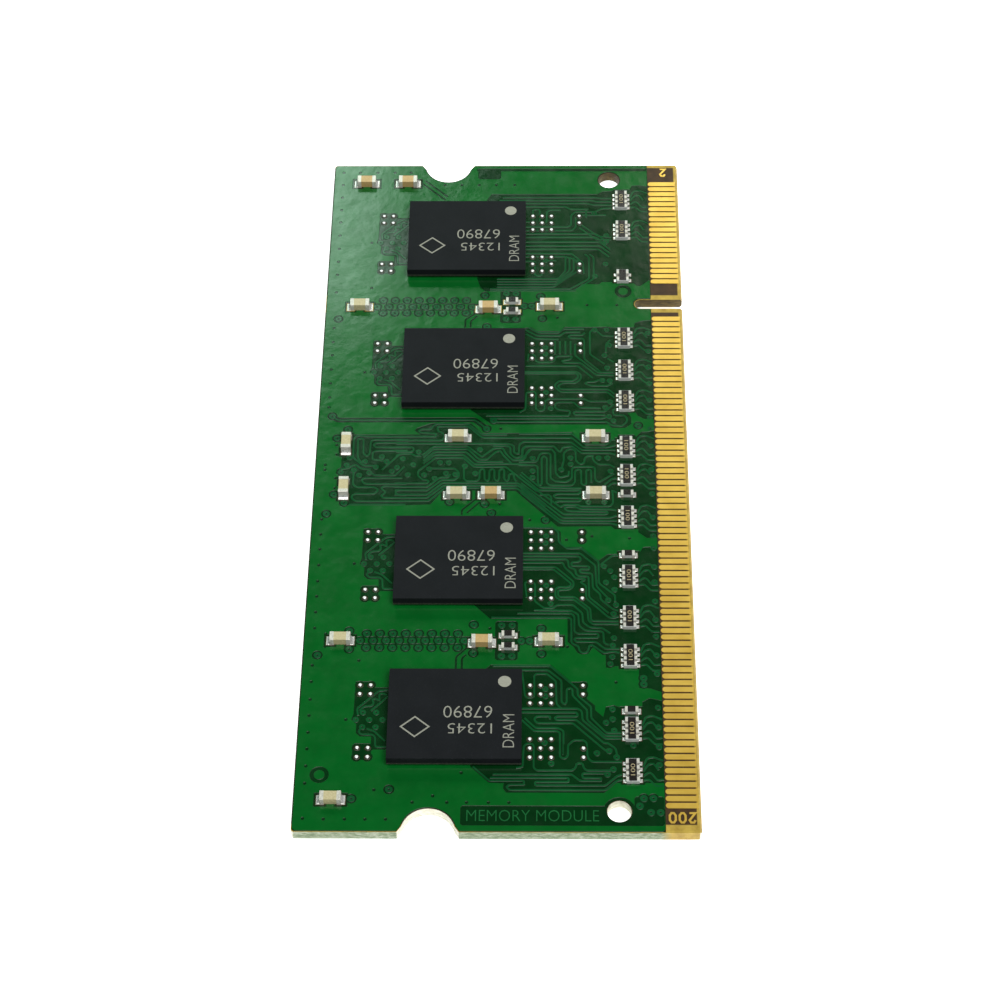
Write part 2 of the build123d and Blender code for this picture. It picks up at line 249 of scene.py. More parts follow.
def laminate_material():
    """Glass-epoxy board: brown over the inner planes, olive round them, and woven plies on its cut edges."""
    material, tree, shader = new_material("laminate_glass_epoxy")
    x, y = axis_value(tree, "X"), axis_value(tree, "Y")
    fibres = noise(tree, 2.2, 4.0, 0.65, stretch=(1.0, 1.0, 2.6))
    face_weave = noise(tree, 1.6, 3.0, 0.6)
    brown = tones(tree, face_weave, (0.030, 0.013, 0.003), (0.058, 0.026, 0.007))
    olive = tones(tree, face_weave, (0.34, 0.22, 0.030), (0.52, 0.36, 0.06))
    low_x, high_x, low_y = -33.12, 33.5, 0.35
    slot_low, slot_high = 16.62, 18.55
    bare_edge_y, pale_bore_x, skin = 2.6, -30.0, 0.02
    slot = combine(tree, "MAXIMUM", beyond(tree, x, slot_low, False), beyond(tree, x, slot_high))
    planes = combine(tree, "MULTIPLY", beyond(tree, y, low_y), beyond(tree, x, low_x),
                     beyond(tree, x, high_x, False), slot)
    face = mix(tree, planes, olive, brown)

    rim = [(0.32, (0.075, 0.125, 0.050)), (0.50, (0.21, 0.265, 0.155)), (0.68, (0.40, 0.43, 0.33))]
    edge = ramp(tree, fibres, rim)
    cream = tones(tree, fibres, (0.55, 0.52, 0.38), (0.88, 0.86, 0.74))
    bore = tones(tree, fibres, (0.035, 0.022, 0.005), (0.16, 0.11, 0.025))
    end = half_length - skin
    outer = combine(tree, "MAXIMUM", beyond(tree, y, board_width - skin, True, 0.01),
                    beyond(tree, x, end, True, 0.01), beyond(tree, x, -end, False, 0.01))
    edge = mix(tree, beyond(tree, y, bare_edge_y, True, 0.4), olive, edge)
    wall = mix(tree, outer, mix(tree, beyond(tree, x, pale_bore_x), cream, bore), edge)

    side = spread(tree, level_share(tree), 0.04, 0.16, 0.0, 1.0)
    tree.links.new(mix(tree, side, wall, face), shader.inputs["Base Color"])
    set_shader(shader, Roughness=0.48, Specular_IOR_Level=0.3)
    bump(tree, shader, fibres, 0.02)
    return material


def gold_material():
    """Hard gold over nickel: warm, with faint rub marks along the way the contact slides."""
    material, tree, shader = new_material("gold_plating")
    streaks = noise(tree, 4.0, 3.0, 0.6, stretch=(1.0, 0.10, 1.0))
    blotch = noise(tree, 0.7, 3.0)
    colour = tones(tree, blotch, (0.76, 0.475, 0.065), (0.90, 0.59, 0.10))
    colour = mix(tree, spread(tree, streaks, 0.55, 0.85, 0.0, 0.30), colour, (0.60, 0.36, 0.06))
    paint(tree, shader, colour, streaks, 0.30, 0.42, end=0.8)
    set_shader(shader, Metallic=0.55, Coat_Weight=0.3, Coat_Roughness=0.3)
    bump(tree, shader, streaks, 0.001)
    return material


def solder_material():
    """Reflowed tin: bright, slightly grainy, with a few dull spots."""
    material, tree, shader = new_material("reflowed_solder")
    grain = noise(tree, 6.0, 3.0, 0.6)
    dull = noise(tree, 1.3, 2.0)
    colour = ramp(tree, dull, [(0.3, (0.86, 0.86, 0.83)), (0.6, (0.99, 0.99, 0.97))])
    paint(tree, shader, colour, grain, 0.24, 0.38)
    set_shader(shader, Metallic=0.65)
    bump(tree, shader, grain, 0.004)
    return material


def dome_material():
    """Solder left on the spare lands: bright on top with a painted highlight, and a dark rim of painted shade
    where it meets the mask.
    """
    material, tree, shader = new_material("solder_domes")
    grain = noise(tree, 6.0, 2.0)
    bright = tones(tree, grain, (0.93, 0.94, 0.92), (1.0, 1.0, 1.0))
    # Painted light: painted shade darkens the steep sides and a painted highlight whitens the level top.
    painted_light_share = spread(tree, level_share(tree), *dome_shade_span, 0.0, 1.0)
    tree.links.new(mix(tree, painted_light_share, (0.05, 0.07, 0.05), bright), shader.inputs["Base Color"])
    set_shader(shader, Metallic=0.15, Roughness=0.3)
    bump(tree, shader, grain, 0.001)
    return material


def grained(name, dark, light, roughness, scale, depth, **values):
    """A fired, plated or moulded surface: two tones of fine grain, with a bump to match."""
    material, tree, shader = new_material(name)
    grain = noise(tree, scale, 4.0, 0.65)
    paint(tree, shader, tones(tree, grain, dark, light), grain, *roughness)
    set_shader(shader, **values)
    bump(tree, shader, grain, depth)
    return material


def mould_material():
    """Black epoxy: matt and finely pitted, with a paler filler speckle and a soft cloudiness."""
    material, tree, shader = new_material("epoxy_mould")
    speck = noise(tree, 11.0, 3.0, 0.7)
    cloud = noise(tree, 0.5, 3.0)
    colour = tones(tree, cloud, (0.0044, 0.0052, 0.0070), (0.0066, 0.0074, 0.0096))
    colour = mix(tree, spread(tree, speck, 0.58, 0.80, 0.0, 0.55), colour, (0.030, 0.033, 0.039))
    paint(tree, shader, colour, speck, 0.55, 0.68)
    set_shader(shader, Specular_IOR_Level=0.13)
    bump(tree, shader, speck, 0.006)
    return material


def ink_material(name, colour):
    """Laser or ink marking: a dull pale tone, slightly broken up."""
    material, tree, shader = new_material(name)
    grain = noise(tree, 9.0, 3.0, 0.7)
    tree.links.new(mix(tree, spread(tree, grain, 0.4, 0.8, 0.0, 0.45), colour, (0.12, 0.12, 0.11)),
                   shader.inputs["Base Color"])
    set_shader(shader, Roughness=0.75, Specular_IOR_Level=0.25)
    return material


mask_bare = mask_material("mask_over_bare_board", (0.0003, 0.0190, 0.0030), (0.0008, 0.0320, 0.0056), 0.08)
mask_copper = mask_material("mask_over_copper", (0.0006, 0.0820, 0.0095), (0.0012, 0.1020, 0.0125), 0.06)
mask_track = mask_material("mask_over_tracks", (0.0024, 0.0580, 0.0150), (0.0048, 0.0840, 0.0230), 0.06)
mask_slope = mask_material("mask_down_slopes", (0.0003, 0.0180, 0.0030), (0.0008, 0.0280, 0.0060), 0.06,
                           coat=0.0, gloss=(0.42, 0.52))
mask_letter = mask_material("mask_over_lettering", (0.0080, 0.0900, 0.0240), (0.0130, 0.1200, 0.0340), 0.10)
laminate = laminate_material()
gold = gold_material()
solder = solder_material()
solder_dome = dome_material()
plated_ends = grained("plated_tin_ends", (0.50, 0.48, 0.42), (0.74, 0.72, 0.65), (0.30, 0.5),
                      8.0, 0.006, Metallic=0.25)
mould = mould_material()
substrate = grained("package_substrate", (0.010, 0.014, 0.010), (0.030, 0.036, 0.022), (0.6, 0.4), 6.0, 0.006)
ceramic_pale = grained("capacitor_ceramic_pale", (0.43, 0.37, 0.19), (0.57, 0.50, 0.30), (0.5, 0.35),
                       7.0, 0.004, Specular_IOR_Level=0.5)
ceramic_amber = grained("capacitor_ceramic_amber", (0.42, 0.27, 0.095), (0.54, 0.37, 0.16), (0.5, 0.35),
                        7.0, 0.004, Specular_IOR_Level=0.5)
alumina = grained("alumina_base", (0.42, 0.44, 0.42), (0.58, 0.60, 0.57), (0.6, 0.45), 8.0, 0.004)
overcoat = grained("resistor_overcoat", (0.006, 0.005, 0.005), (0.014, 0.011, 0.010), (0.35, 0.22),
                   5.0, 0.004, Coat_Weight=0.4, Coat_Roughness=0.1)
copper = grained("copper_foil", (0.55, 0.25, 0.12), (0.75, 0.38, 0.20), (0.45, 0.3), 5.0, 0.003, Metallic=1.0)
tinned_land = grained("tinned_land", (0.50, 0.50, 0.46), (0.78, 0.77, 0.72), (0.4, 0.25),
                      6.0, 0.004, Metallic=0.5)
silicon = grained("silicon_die", (0.08, 0.085, 0.10), (0.14, 0.145, 0.16), (0.2, 0.1),
                  3.0, 0.001, Metallic=0.4)
chip_ink = ink_material("chip_marking", (0.30, 0.30, 0.25))
dot_ink = ink_material("pin_one_dot", (0.33, 0.33, 0.27))
digit_ink = ink_material("resistor_digits", (0.50, 0.42, 0.24))

# Part of a node's name, its material and the bevel of its edges; the last row is for all that are left.
finishes = [
    ("board_laminate", laminate, 0.02), ("solder_mask", mask_bare, 0), ("edge_contacts", gold, 0.012),
    ("pin_number", gold, 0), ("_mould", mould, 0.03), ("_substrate", substrate, 0),
    ("memory_dies", silicon, 0), ("eeprom_die", silicon, 0), ("eeprom_case", mould, 0.05),
    ("eeprom_leads", plated_ends, 0), ("eeprom_paddle", copper, 0), ("copper_lands", tinned_land, 0),
    ("inner_", copper, 0),
    ("capacitor_bodies_amber", ceramic_amber, 0.02), ("capacitor_bodies", ceramic_pale, 0.02),
    ("capacitor_terminals", plated_ends, 0), ("resistor_bases", alumina, 0.02),
    ("resistor_overcoats", overcoat, 0.02), ("resistor_terminals", plated_ends, 0.03),
    ("spare_land_domes", solder_dome, 0), ("", solder, 0),
]


def dress(node, material, bevel):
    """Gives a CAD node its material, and softens its edges with a small bevel."""
    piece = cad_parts[node]
    for slot in piece.material_slots:
        slot.material = material
    if not piece.material_slots:
        piece.data.materials.append(material)
    if bevel:
        modifier = piece.modifiers.new("edge_softening", "BEVEL")
        modifier.width = bevel * mm
        modifier.segments = 2
        modifier.limit_method = "ANGLE"
        modifier.angle_limit = math.radians(40)
        modifier.harden_normals = False


def dress_nodes():
    """Every CAD node's own material."""
    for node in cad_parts:
        dress(node, *next(finish for part, *finish in finishes if part in node))


# ---------------------------------------------------------------- flat shapes

def circle(x, y, radius, count=18):
    """A round outline."""
    turns = [2 * math.pi * step / count for step in range(count)]
    return [(x + radius * math.cos(turn), y + radius * math.sin(turn)) for turn in turns]


def box_outline(low_x, high_x, low_y, high_y, cut=0.15):
    """A rectangle with its corners cut off."""
    return [
        (low_x + cut, low_y), (high_x - cut, low_y), (high_x, low_y + cut), (high_x, high_y - cut),
        (high_x - cut, high_y), (low_x + cut, high_y), (low_x, high_y - cut), (low_x, low_y + cut),
    ]


def soften(points, radius=0.16):
    """A route with each corner turned into a short curve."""
    if len(points) < 3:
        return list(points)
    route = [points[0]]
    for before, corner, after in zip(points, points[1:], points[2:]):
        corner_v = Vector(corner)
        to_before = Vector(before) - corner_v
        to_after = Vector(after) - corner_v
        reach = min(radius, to_before.length * 0.45, to_after.length * 0.45)
        first = corner_v + to_before.normalized() * reach
        last = corner_v + to_after.normalized() * reach
        middle = (first + last) / 4 + corner_v / 2
        route += [tuple(first), tuple(middle), tuple(last)]
    return route + [points[-1]]


def offset_route(points, distance):
    """A route moved sideways, with its corners mitred."""
    result = []
    for index, point in enumerate(points):
        here = Vector(point)
        normals = []
        if index > 0:
            way = (here - Vector(points[index - 1])).normalized()
            normals.append(Vector((-way.y, way.x)))
        if index < len(points) - 1:
            way = (Vector(points[index + 1]) - here).normalized()
            normals.append(Vector((-way.y, way.x)))
        normal = sum(normals, Vector((0, 0)))
        if normal.length < 1e-6:
            normal = normals[0]
        normal.normalize()
        stretch = min(1.0 / max(normal.dot(normals[0]), 0.35), 1.6)
        moved = here + normal * distance * stretch
        result.append((moved.x, moved.y))
    return result


def ribbon(points, width):
    """The outline of a strip that follows a route."""
    route = soften(points)
    left = offset_route(route, width / 2)
    right = offset_route(route, -width / 2)
    return left + right[::-1]


def bus(points, count, pitch):
    """Parallel routes beside the one given, which is the first."""
    return [offset_route(points, step * pitch) for step in range(count)]


def shift(points, distance):
    """The points moved along the board."""
    return [(x + distance, y) for x, y in points]


# ---------------------------------------------------------------- raised copper

def turned_left(outline):
    """The outline, going anticlockwise."""
    area = 0.0
    for (x0, y0), (x1, y1) in zip(outline, outline[1:] + outline[:1]):
        area += x0 * y1 - x1 * y0
    return outline if area > 0 else outline[::-1]


def cut_regions(pours, keepouts, raised, discs, drills):
    """Triangles of the copper: pours less keepouts, raised shapes and discs, less the drilled holes."""
    groups = (pours, keepouts, raised, discs, drills)
    outlines = [turned_left(outline) for group in groups for outline in group]
    ends = [sum(map(len, groups[:index + 1])) for index in range(len(groups))]
    points, faces = [], []
    for outline in outlines:
        start = len(points)
        points += [Vector(point) for point in outline]
        faces.append(list(range(start, len(points))))
    verts, _, triangles, _, _, owners = delaunay_2d_cdt(points, [], faces, 1, 1e-5)
    kept = []
    for triangle, owner in zip(triangles, owners):
        kinds = {next(kind for kind, end in enumerate(ends) if item < end) for item in owner}
        is_pour, is_cleared, is_track, is_disc, is_drilled = (kind in kinds for kind in range(len(groups)))
        if not is_drilled and (is_track or is_disc or (is_pour and not is_cleared)):
            kept.append((list(triangle), is_track))
    return [tuple(vert) for vert in verts], kept


def open_edges(triangles):
    """The edges that only one triangle has."""
    edges = [edge for triangle in triangles for edge in zip(triangle, triangle[1:] + triangle[:1])]
    directed = dict.fromkeys(edges)
    return [edge for edge in directed if edge[::-1] not in directed]


def outward_shifts(verts, rim):
    """How far the foot of the slope is from each point of the rim."""
    normals = {}
    for first, second in rim:
        way = Vector(verts[second]) - Vector(verts[first])
        if way.length < 1e-9:
            continue
        for vert in (first, second):
            normals.setdefault(vert, []).append(Vector((way.y, -way.x)).normalized())
    shifts = {}
    for vert, sides in normals.items():
        normal = sum(sides, Vector((0, 0)))
        if normal.length > 1e-6:
            normal.normalize()
            stretch = min(1.0 / max(normal.dot(sides[0]), 0.5), 1.5)
            shifts[vert] = (normal.x * relief_slope * stretch, normal.y * relief_slope * stretch)
    return shifts


def relief(name, regions, side, materials):
    """A closed raised sheet over flat regions, with sloping edges, on the even (+1) or odd (-1) face."""
    verts, kept = regions
    rim = open_edges([triangle for triangle, _ in kept])
    shifts = outward_shifts(verts, rim)
    used = sorted({vert for triangle, _ in kept for vert in triangle})
    place = {vert: index for index, vert in enumerate(used)}
    top_z = (face_z + relief_height) * side
    low_z = (face_z - relief_sink) * side
    top, low = [], []
    for vert in used:
        x, y = verts[vert]
        out_x, out_y = shifts.get(vert, (0, 0))
        top.append((x * mm, y * mm, top_z * mm))
        low.append(((x + out_x) * mm, (y + out_y) * mm, low_z * mm))
    count = len(used)
    faces, slots = [], []
    for triangle, is_track in kept:
        a, b, c = (place[vert] for vert in triangle)
        faces += [(a, b, c), (c + count, b + count, a + count)]
        slots += [int(is_track)] * 2
    for first, second in rim:
        a, b = place[first], place[second]
        faces.append((b, a, a + count, b + count))
        slots.append(2)
    if side < 0:
        faces = [face[::-1] for face in faces]
    mesh = bpy.data.meshes.new(name)
    mesh.from_pydata(top + low, [], faces)
    for material in materials:
        mesh.materials.append(material)
    mesh.polygons.foreach_set("material_index", slots)
    mesh.update()
    return add_piece(name, mesh)


def add_piece(name, data, body="root"):
    """A new piece that rides on the board, attached to the root body."""
    piece = bpy.data.objects.new(name, data)
    bpy.context.scene.collection.objects.link(piece)
    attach(piece, body)
    return piece


# ---------------------------------------------------------------- copper artwork

def pairs(*values):
    """x, y, x, y ... as a list of points."""
    return list(zip(values[::2], values[1::2]))


def as_routes(*rows):
    """Each row of x, y, x, y ... as a route."""
    return [pairs(*row) for row in rows]


def dark_regions():
    """Where the outer copper is cleared away for tracks, so that the board shows dark."""
    regions = [
        box_outline(-33.25, -31.55, 2.7, 17.65), circle(-32, 6, 1.2), box_outline(-32.6, -30.75, 2.7, 4.9),
        pairs(-30.45, 14.3, -30.45, 7.1, -29.6, 6.2, -29.6, 2.6, -22.35, 2.6, -22.1, 3.6, -22.45, 4.15,
            -22.9, 4.15, -22.9, 5.9, -22.75, 6.3, -22.9, 6.9, -23.8, 7.1, -23.2, 7.7, -22.8, 7.7, -22.2, 8.3,
            -20.65, 8.3, -20.65, 9.5, -19.1, 11.05, -19.1, 15.6, -19.6, 16.1, -28.2, 17, -29.6, 15.6,
            -29.65, 14.5, -30.1, 14.55),
        pairs(-13.5, 17, -14.85, 15.7, -14.85, 9.75, -17, 9.75, -17.45, 9.3, -18, 9, -18.15, 8.7, -18.1, 8.2,
            -17.5, 7.8, -18.2, 7.1, -18.2, 6.85, -19.35, 6.85, -19.4, 6.5, -19.2, 6.1, -19.45, 4.35,
            -21.2, 4.35, -21.25, 3.5, -21.6, 2.6, -8.2, 2.6, -7.9, 3.2, -7.95, 3.8, -8.5, 4.1, -8.3, 4.2,
            -8.3, 5.6, -8.6, 5.8, -8.65, 6.6, -9.25, 7.3, -7.95, 8.6, -7.95, 9.9, -7.5, 10.25, -6.5, 10.25,
            -5.95, 10.9, -6, 13.2),
        pairs(-7, 2.6, -7.05, 3.5, -6.5, 4.15, -6.2, 4.15, -6.2, 6, -5.9, 6.3, -5.95, 10.5, -2.4, 13.85,
            -2.4, 14.6, -2.3, 19.6, -3.75, 20.6, -3.85, 23, -3.85, 27.1, -3.3, 28, -0.9, 28, -0.6, 28.3,
            -0.2, 28.2, 0, 27.9, 3.9, 27.9, 3.4, 27, 3.4, 21.6, 3.8, 22.1, 4.1, 21.9, 4.6, 20.7, 4.6, 17.55,
            3.55, 16.6, 3.55, 14.6, 3.65, 9.3, 2.6, 8.55, 2.4, 8.2, 2.4, 6.6, 2.9, 6.1, 3, 5.7, 3.4, 5.6,
            3.4, 4.3, 3.2, 4.15, 3.7, 3.7, 3.7, 3.2, 3.9, 2.6),
        pairs(6, 17.6, 4.6, 16, 4.45, 15.6, 4.45, 6.4, 4.1, 6.1, 4.1, 5, 4.5, 4.5, 5.2, 4.5, 5.8, 4.9,
            5.85, 4.2, 5.4, 4, 5.05, 3.5, 5, 2.6, 15.75, 2.6, 15.65, 3.5, 15.4, 4.05, 14.95, 4.1, 14.9, 5.8,
            15, 6.4, 14.95, 7.3, 14.95, 9.9, 14.5, 10.35, 14.5, 12.15, 14.95, 12.7, 14.85, 13.3),
        pairs(20.4, 17.3, 19.4, 17, 18.95, 16.6, 18.95, 9, 19.8, 8.4, 19.75, 7, 20, 6.7, 20, 4.2, 19.6, 3.8,
            19.55, 3.5, 20.3, 2.6, 31.2, 2.6, 31.35, 3.4, 31.3, 4, 30.85, 4.2, 30.85, 5.6, 30.7, 5.7,
            30.6, 6.6, 30.3, 7, 30.3, 16.2, 29.6, 16.6),
        box_outline(-7.65, -6.1, 8.3, 8.9), box_outline(33.05, 33.4, 2.7, 17.5, 0.05),
        box_outline(32.1, 33.3, 15.4, 17.4), box_outline(-18.7, -15.05, 13.55, 15.3),
        box_outline(15.4, 19, 13.55, 15.3),
    ]
    above_chip = pairs(-2.55, 22.9, -2.55, 24.4, -1.4, 24.45, -1.4, 25.3, -1.1, 25.6, -0.3, 25.6, 0.1, 26,
        0.6, 25.85, 3.55, 25.8, 3.55, 24.5, 3, 24.4, 3, 22.9)
    for x in chip_xs:
        regions.append(shift(above_chip, x))
        regions.append(box_outline(x - 3.45, x - 2, 24.4, 25.8))
    return regions

# Tracks on the contact side of the first package.
first_chip_routes = as_routes(
    (-29.75, 13, -29.75, 14.1, -29.95, 14.3, -30.2, 14.1, -30.2, 7, -29.35, 6.1, -29.3, 5.7),
    (-29.75, 13, -29.4, 13, -29.4, 15.6, -28.2, 16.8),
    (-29.15, 15.5, -29.15, 9.7, -29.5, 9.7, -29.5, 12.2, -29.8, 12.2, -29.8, 7, -28.95, 6.1, -28.85, 5.7),
    (-28.85, 15.3, -28.85, 9.5, -29.4, 8.9, -29.4, 7.3, -29.15, 7.3, -29.15, 8.7, -28.75, 8.7, -28.75, 6.6),
    (-28.3, 13.6, -28.2, 13.1, -26.4, 13.05, -26.15, 12.8, -26.2, 12.4, -26.4, 12.3, -28.3, 12.3,
     -28.5, 12.1, -28.5, 9.4, -28.2, 9.15, -27.95, 9.15, -27.85, 8.9, -27.95, 8.65, -28.3, 8.6, -28.5, 8.4,
     -28.5, 6.4),
    (-24, 11.1, -23.75, 11.05, -23.75, 12.1, -24.05, 12.3, -24.35, 12.1, -24.35, 9.4, -26.7, 7.05,
     -26.9, 6.7),
    (-23.4, 13.2, -23.4, 9.1, -23.65, 9, -23.75, 9.1, -23.75, 10.6, -23.95, 10.75, -24.05, 10.6,
     -24.05, 9.15, -26.1, 7.1, -26.1, 6.8, -26.6, 6.2, -27.3, 6.1),
    (-23.05, 13.2, -23.05, 9, -23.3, 8.7, -24.1, 8.65, -25.7, 7, -25.7, 5.7),
    (-19.2, 15.4, -19.2, 11.1, -21.3, 9, -21.9, 9, -22.9, 8, -23.9, 8, -25.2, 6.9, -25.2, 5.7),
    (-19.58, 13.3, -19.58, 11.27, -20.54, 10.22, -22.5, 10.22, -22.7, 10, -22.5, 9.83, -21.33, 9.83,
     -21.2, 9.6, -21.33, 9.39, -21.9, 9.39, -23.2, 8.3, -24.1, 8.3, -25.45, 7, -25.45, 5.7),
    (-19.83, 13.2, -22, 12.97, -22.1, 12.6, -21.95, 12.28, -20.1, 12.28, -19.92, 12.14, -19.92, 11.35,
     -20.6, 10.64, -22.67, 10.6, -23, 10.3),
) + bus(pairs(
    -24.1, 13.2, -25.05, 12.3, -25.05, 10.6, -25.2, 10.35, -27.3, 10.35, -27.45, 10.2, -27.45, 9.9,
    -27.2, 9.75, -26.3, 9.75, -25.85, 9.3, -25.85, 8.6, -26.1, 8.35, -27.4, 8.3, -27.75, 8, -27.75, 5.7
), 2, 0.27)

# Tracks on the contact side of the second package.
second_chip_routes = as_routes(
    (-14.7, 15.6, -14.7, 9.7, -14.85, 9.45, -17.1, 9.45, -17.4, 8.9, -17.8, 8.85, -18, 8.65, -17.95, 8.3,
     -17.75, 8.15, -17.35, 8.1, -17.25, 7.9, -18, 7, -17.85, 6.2, -18, 5.8),
    (-14.3, 13.6, -14.3, 9.5, -14.58, 9.22, -16.04, 9.22, -16.2, 9, -16.2, 7.45, -16.4, 7.35, -16.58, 7.45,
     -16.6, 9.1, -16.75, 9.25, -16.96, 9.1, -16.96, 7.6, -17.6, 6.93, -17.6, 5.8),
    (-14, 12.3, -14.04, 9.5, -14.4, 8.93, -15.5, 8.85, -15.9, 8.43, -15.95, 7.27, -16.1, 7, -17.1, 6.97,
     -17.25, 6.6),
    (-12.8, 12.35, -13.2, 12.25, -13.8, 11.6, -13.8, 10.85, -13.5, 10.56, -13.5, 9.35, -14.3, 8.6,
     -15.17, 8.56, -15.6, 8.1, -15.67, 7.1, -16.17, 6.5),
    (-10.1, 13.2, -10.1, 10.85, -11.46, 9.48, -11.67, 9.48, -11.83, 9.73, -11.8, 10.43, -12, 10.68,
     -12.75, 10.68, -13, 10.43, -13, 9.27, -14, 8.2, -15, 8.14, -15.3, 7.85, -15.3, 5.85),
    (-9.88, 13.2, -9.88, 10.68, -11.3, 9.27, -11.75, 9.27, -12.04, 9.6, -12.1, 10.47, -12.6, 10.47,
     -12.75, 10.35, -12.75, 9.2, -13.9, 7.98, -15, 7.93, -15.04, 5.85),
    (-9.46, 13.2, -9.46, 10.1, -10, 9.93, -10.4, 9.5, -10.96, 9.14, -11, 8.5, -11.1, 8.35, -11.25, 8.6,
     -11.4, 8.7, -11.67, 8.3, -12.9, 8.3, -14.67, 6.6, -14.75, 6.27, -14.6, 5.85),
    (-9.13, 13.2, -9.13, 9.85, -9.3, 9.68, -9.9, 9.64, -10.1, 9.14, -10.6, 9.06, -10.75, 8.9, -10.8, 8.1,
     -12.8, 8.06, -14.25, 6.6),
    (-8.83, 13.2, -8.83, 8.93, -9, 8.7, -9.25, 8.7, -9.4, 8.93, -9.4, 9.35, -9.6, 9.45, -9.75, 9.4,
     -9.8, 8.1, -10, 8, -10.1, 8.1, -10.1, 8.7, -10.25, 8.8, -10.4, 8.7, -10.46, 8, -10.6, 7.8, -11.9, 7.77,
     -12.5, 7.2, -13, 7.18, -13.9, 6.27, -14.05, 5.85),
    (-8.54, 13.2, -8.54, 8.77, -9.75, 7.56, -11.75, 7.48, -12.9, 6.6),
    (-6, 13.3, -6.04, 10.85, -6.5, 10.43, -7.46, 10.42, -8.08, 9.8, -8.04, 8.68, -9.4, 7.3, -11.45, 7.3,
     -12.6, 6.06, -13.2, 6.06),
    (-9.67, 7.14, -8.75, 6.2, -8.75, 5.7),
    (-12.8, 12.9, -11.4, 13.05, -11.25, 12.8, -11.3, 12.4, -11.6, 12.25, -12.7, 12.25),
)

# Tracks between the middle capacitors and the contacts.
centre_low_routes = as_routes(
    (-2.6, 13.4, -5.58, 10.3, -5.58, 6.35, -5.8, 5.77),
    (-2.25, 13.4, -5.33, 10.27, -5.33, 5.85),
    (-1.9, 13.4, -5.04, 10.14, -5.04, 6.35, -4.83, 5.85),
    (-1.6, 13.4, -4.7, 10.06, -4.7, 6.7, -4.58, 6.5, -4.43, 6.6, -4.4, 9.5, -4.3, 9.85, -4.05, 10,
     -3.95, 9.7, -3.95, 9.1, -4.15, 8.77, -4.2, 6.35, -4.3, 5.85),
    (-1.2, 13.4, -4, 10.27, -3.75, 10, -3.75, 8.9, -3.9, 8.7, -3.9, 6.35, -3.65, 6.1, -2.65, 6.1, -2.3, 6.2,
     -2.6, 5.7),
    (-0.75, 13.5, -2.3, 12, -2.3, 8.77, -2.45, 8.6, -2.67, 8.85, -2.67, 10.6, -2.85, 10.85, -3.05, 10.7,
     -3.1, 8.77, -3.25, 8.6, -3.4, 8.77, -3.4, 10.5, -3.6, 10.77),
    (-0.5, 13.4, -2, 11.93, -2.1, 8.6),
    (-2.75, 11.9, -2.75, 11.2, -3, 11, -3.7, 11),
    (0.25, 13.6, 0.25, 12.35, 0.1, 12.1, -1.67, 12.06, -1.8, 11.9, -1.67, 11.75, 1, 11.77, 1.2, 11.6,
     0.96, 11.35, -1.6, 11.37, -1.8, 11.1, -1.8, 9.35, -1.5, 9.1, -0.35, 9.1, -0.15, 8.85, -0.3, 8.6,
     -1.67, 8.6, -1.8, 8.4, -1.67, 8.2, -0.3, 8.2, -0.15, 8, -0.3, 7.8, -1.5, 7.8),
    (0.58, 13.6, 0.58, 12.27, 0.83, 12.06, 1.2, 12, 1.5, 11.8, 1.5, 11.27, 1.33, 11.05, -1.1, 11.06,
     -1.4, 10.7, -1.45, 9.77, -1.1, 9.35, -0.1, 9.35, 0.1, 9.1, 0.1, 7.7, -0.05, 7.5, -1.25, 7.5, -1.5, 7.2,
     -0.6, 6),
    (0.8, 13.6, 0.8, 13.25, 1.08, 13.06, 1.5, 13, 1.9, 12.7, 1.9, 11, 1.5, 10.7, -0.6, 10.65, -1, 10.35,
     -0.8, 9.6, -0.35, 9.6),
    (1.1, 13.35, 1.9, 13.35, 2.2, 13.1, 2.2, 10.77, 1.75, 10.5, 1.6, 10.27, 2.1, 10.06, 2.2, 9.35, 1.5, 8.6,
     1.5, 6.35, 1.33, 5.85),
    (2.35, 13.6, 2.67, 13.27, 2.62, 9.43, 1.83, 8.6, 1.83, 5.85),
    (3.08, 13.6, 3.08, 9.35, 2.1, 8.43, 2.1, 6.5, 2.3, 5.85),
    (3.5, 13.6, 3.5, 9.35, 2.4, 8.27, 2.4, 6.5, 2.9, 6.1, 2.85, 5.85),
    (-0.3, 10.2, 0.67, 10, 1.5, 10, 1.9, 9.6, 1.9, 9.3, 1.67, 9.03, 0.67, 9.03, 0.33, 8.68, 0.5, 8.35,
     1, 8.3, 1.2, 8.06, 1.2, 7.6),
    (1.1, 7.7, 0.67, 7.6, 0.33, 7.27, 0.33, 6.35, 0, 5.93),
    (-1.96, 6.5, -1.55, 6.1, -1.6, 5.77),
    (-1.75, 6.77, -1.1, 6.1, -1.1, 5.8),
)


def comb_route():
    """The track that runs to and fro between the middle capacitors."""
    comb = [(0, 18), (-1.17, 18), (-1.37, 17.8), (-1.37, 17), (-1.17, 16.75)]
    for y in (16.75, 15.96, 15.17):
        comb += pairs(-0.33, y, -0.1, y - 0.2, -0.3, y - 0.4, -1.2, y - 0.4, -1.4, y - 0.6, -1.2, y - 0.79)
    comb += pairs(-0.75, 14.4, -0.6, 14.2, -0.75, 14, -1.17, 13.96, -1.4, 13.8)
    return comb

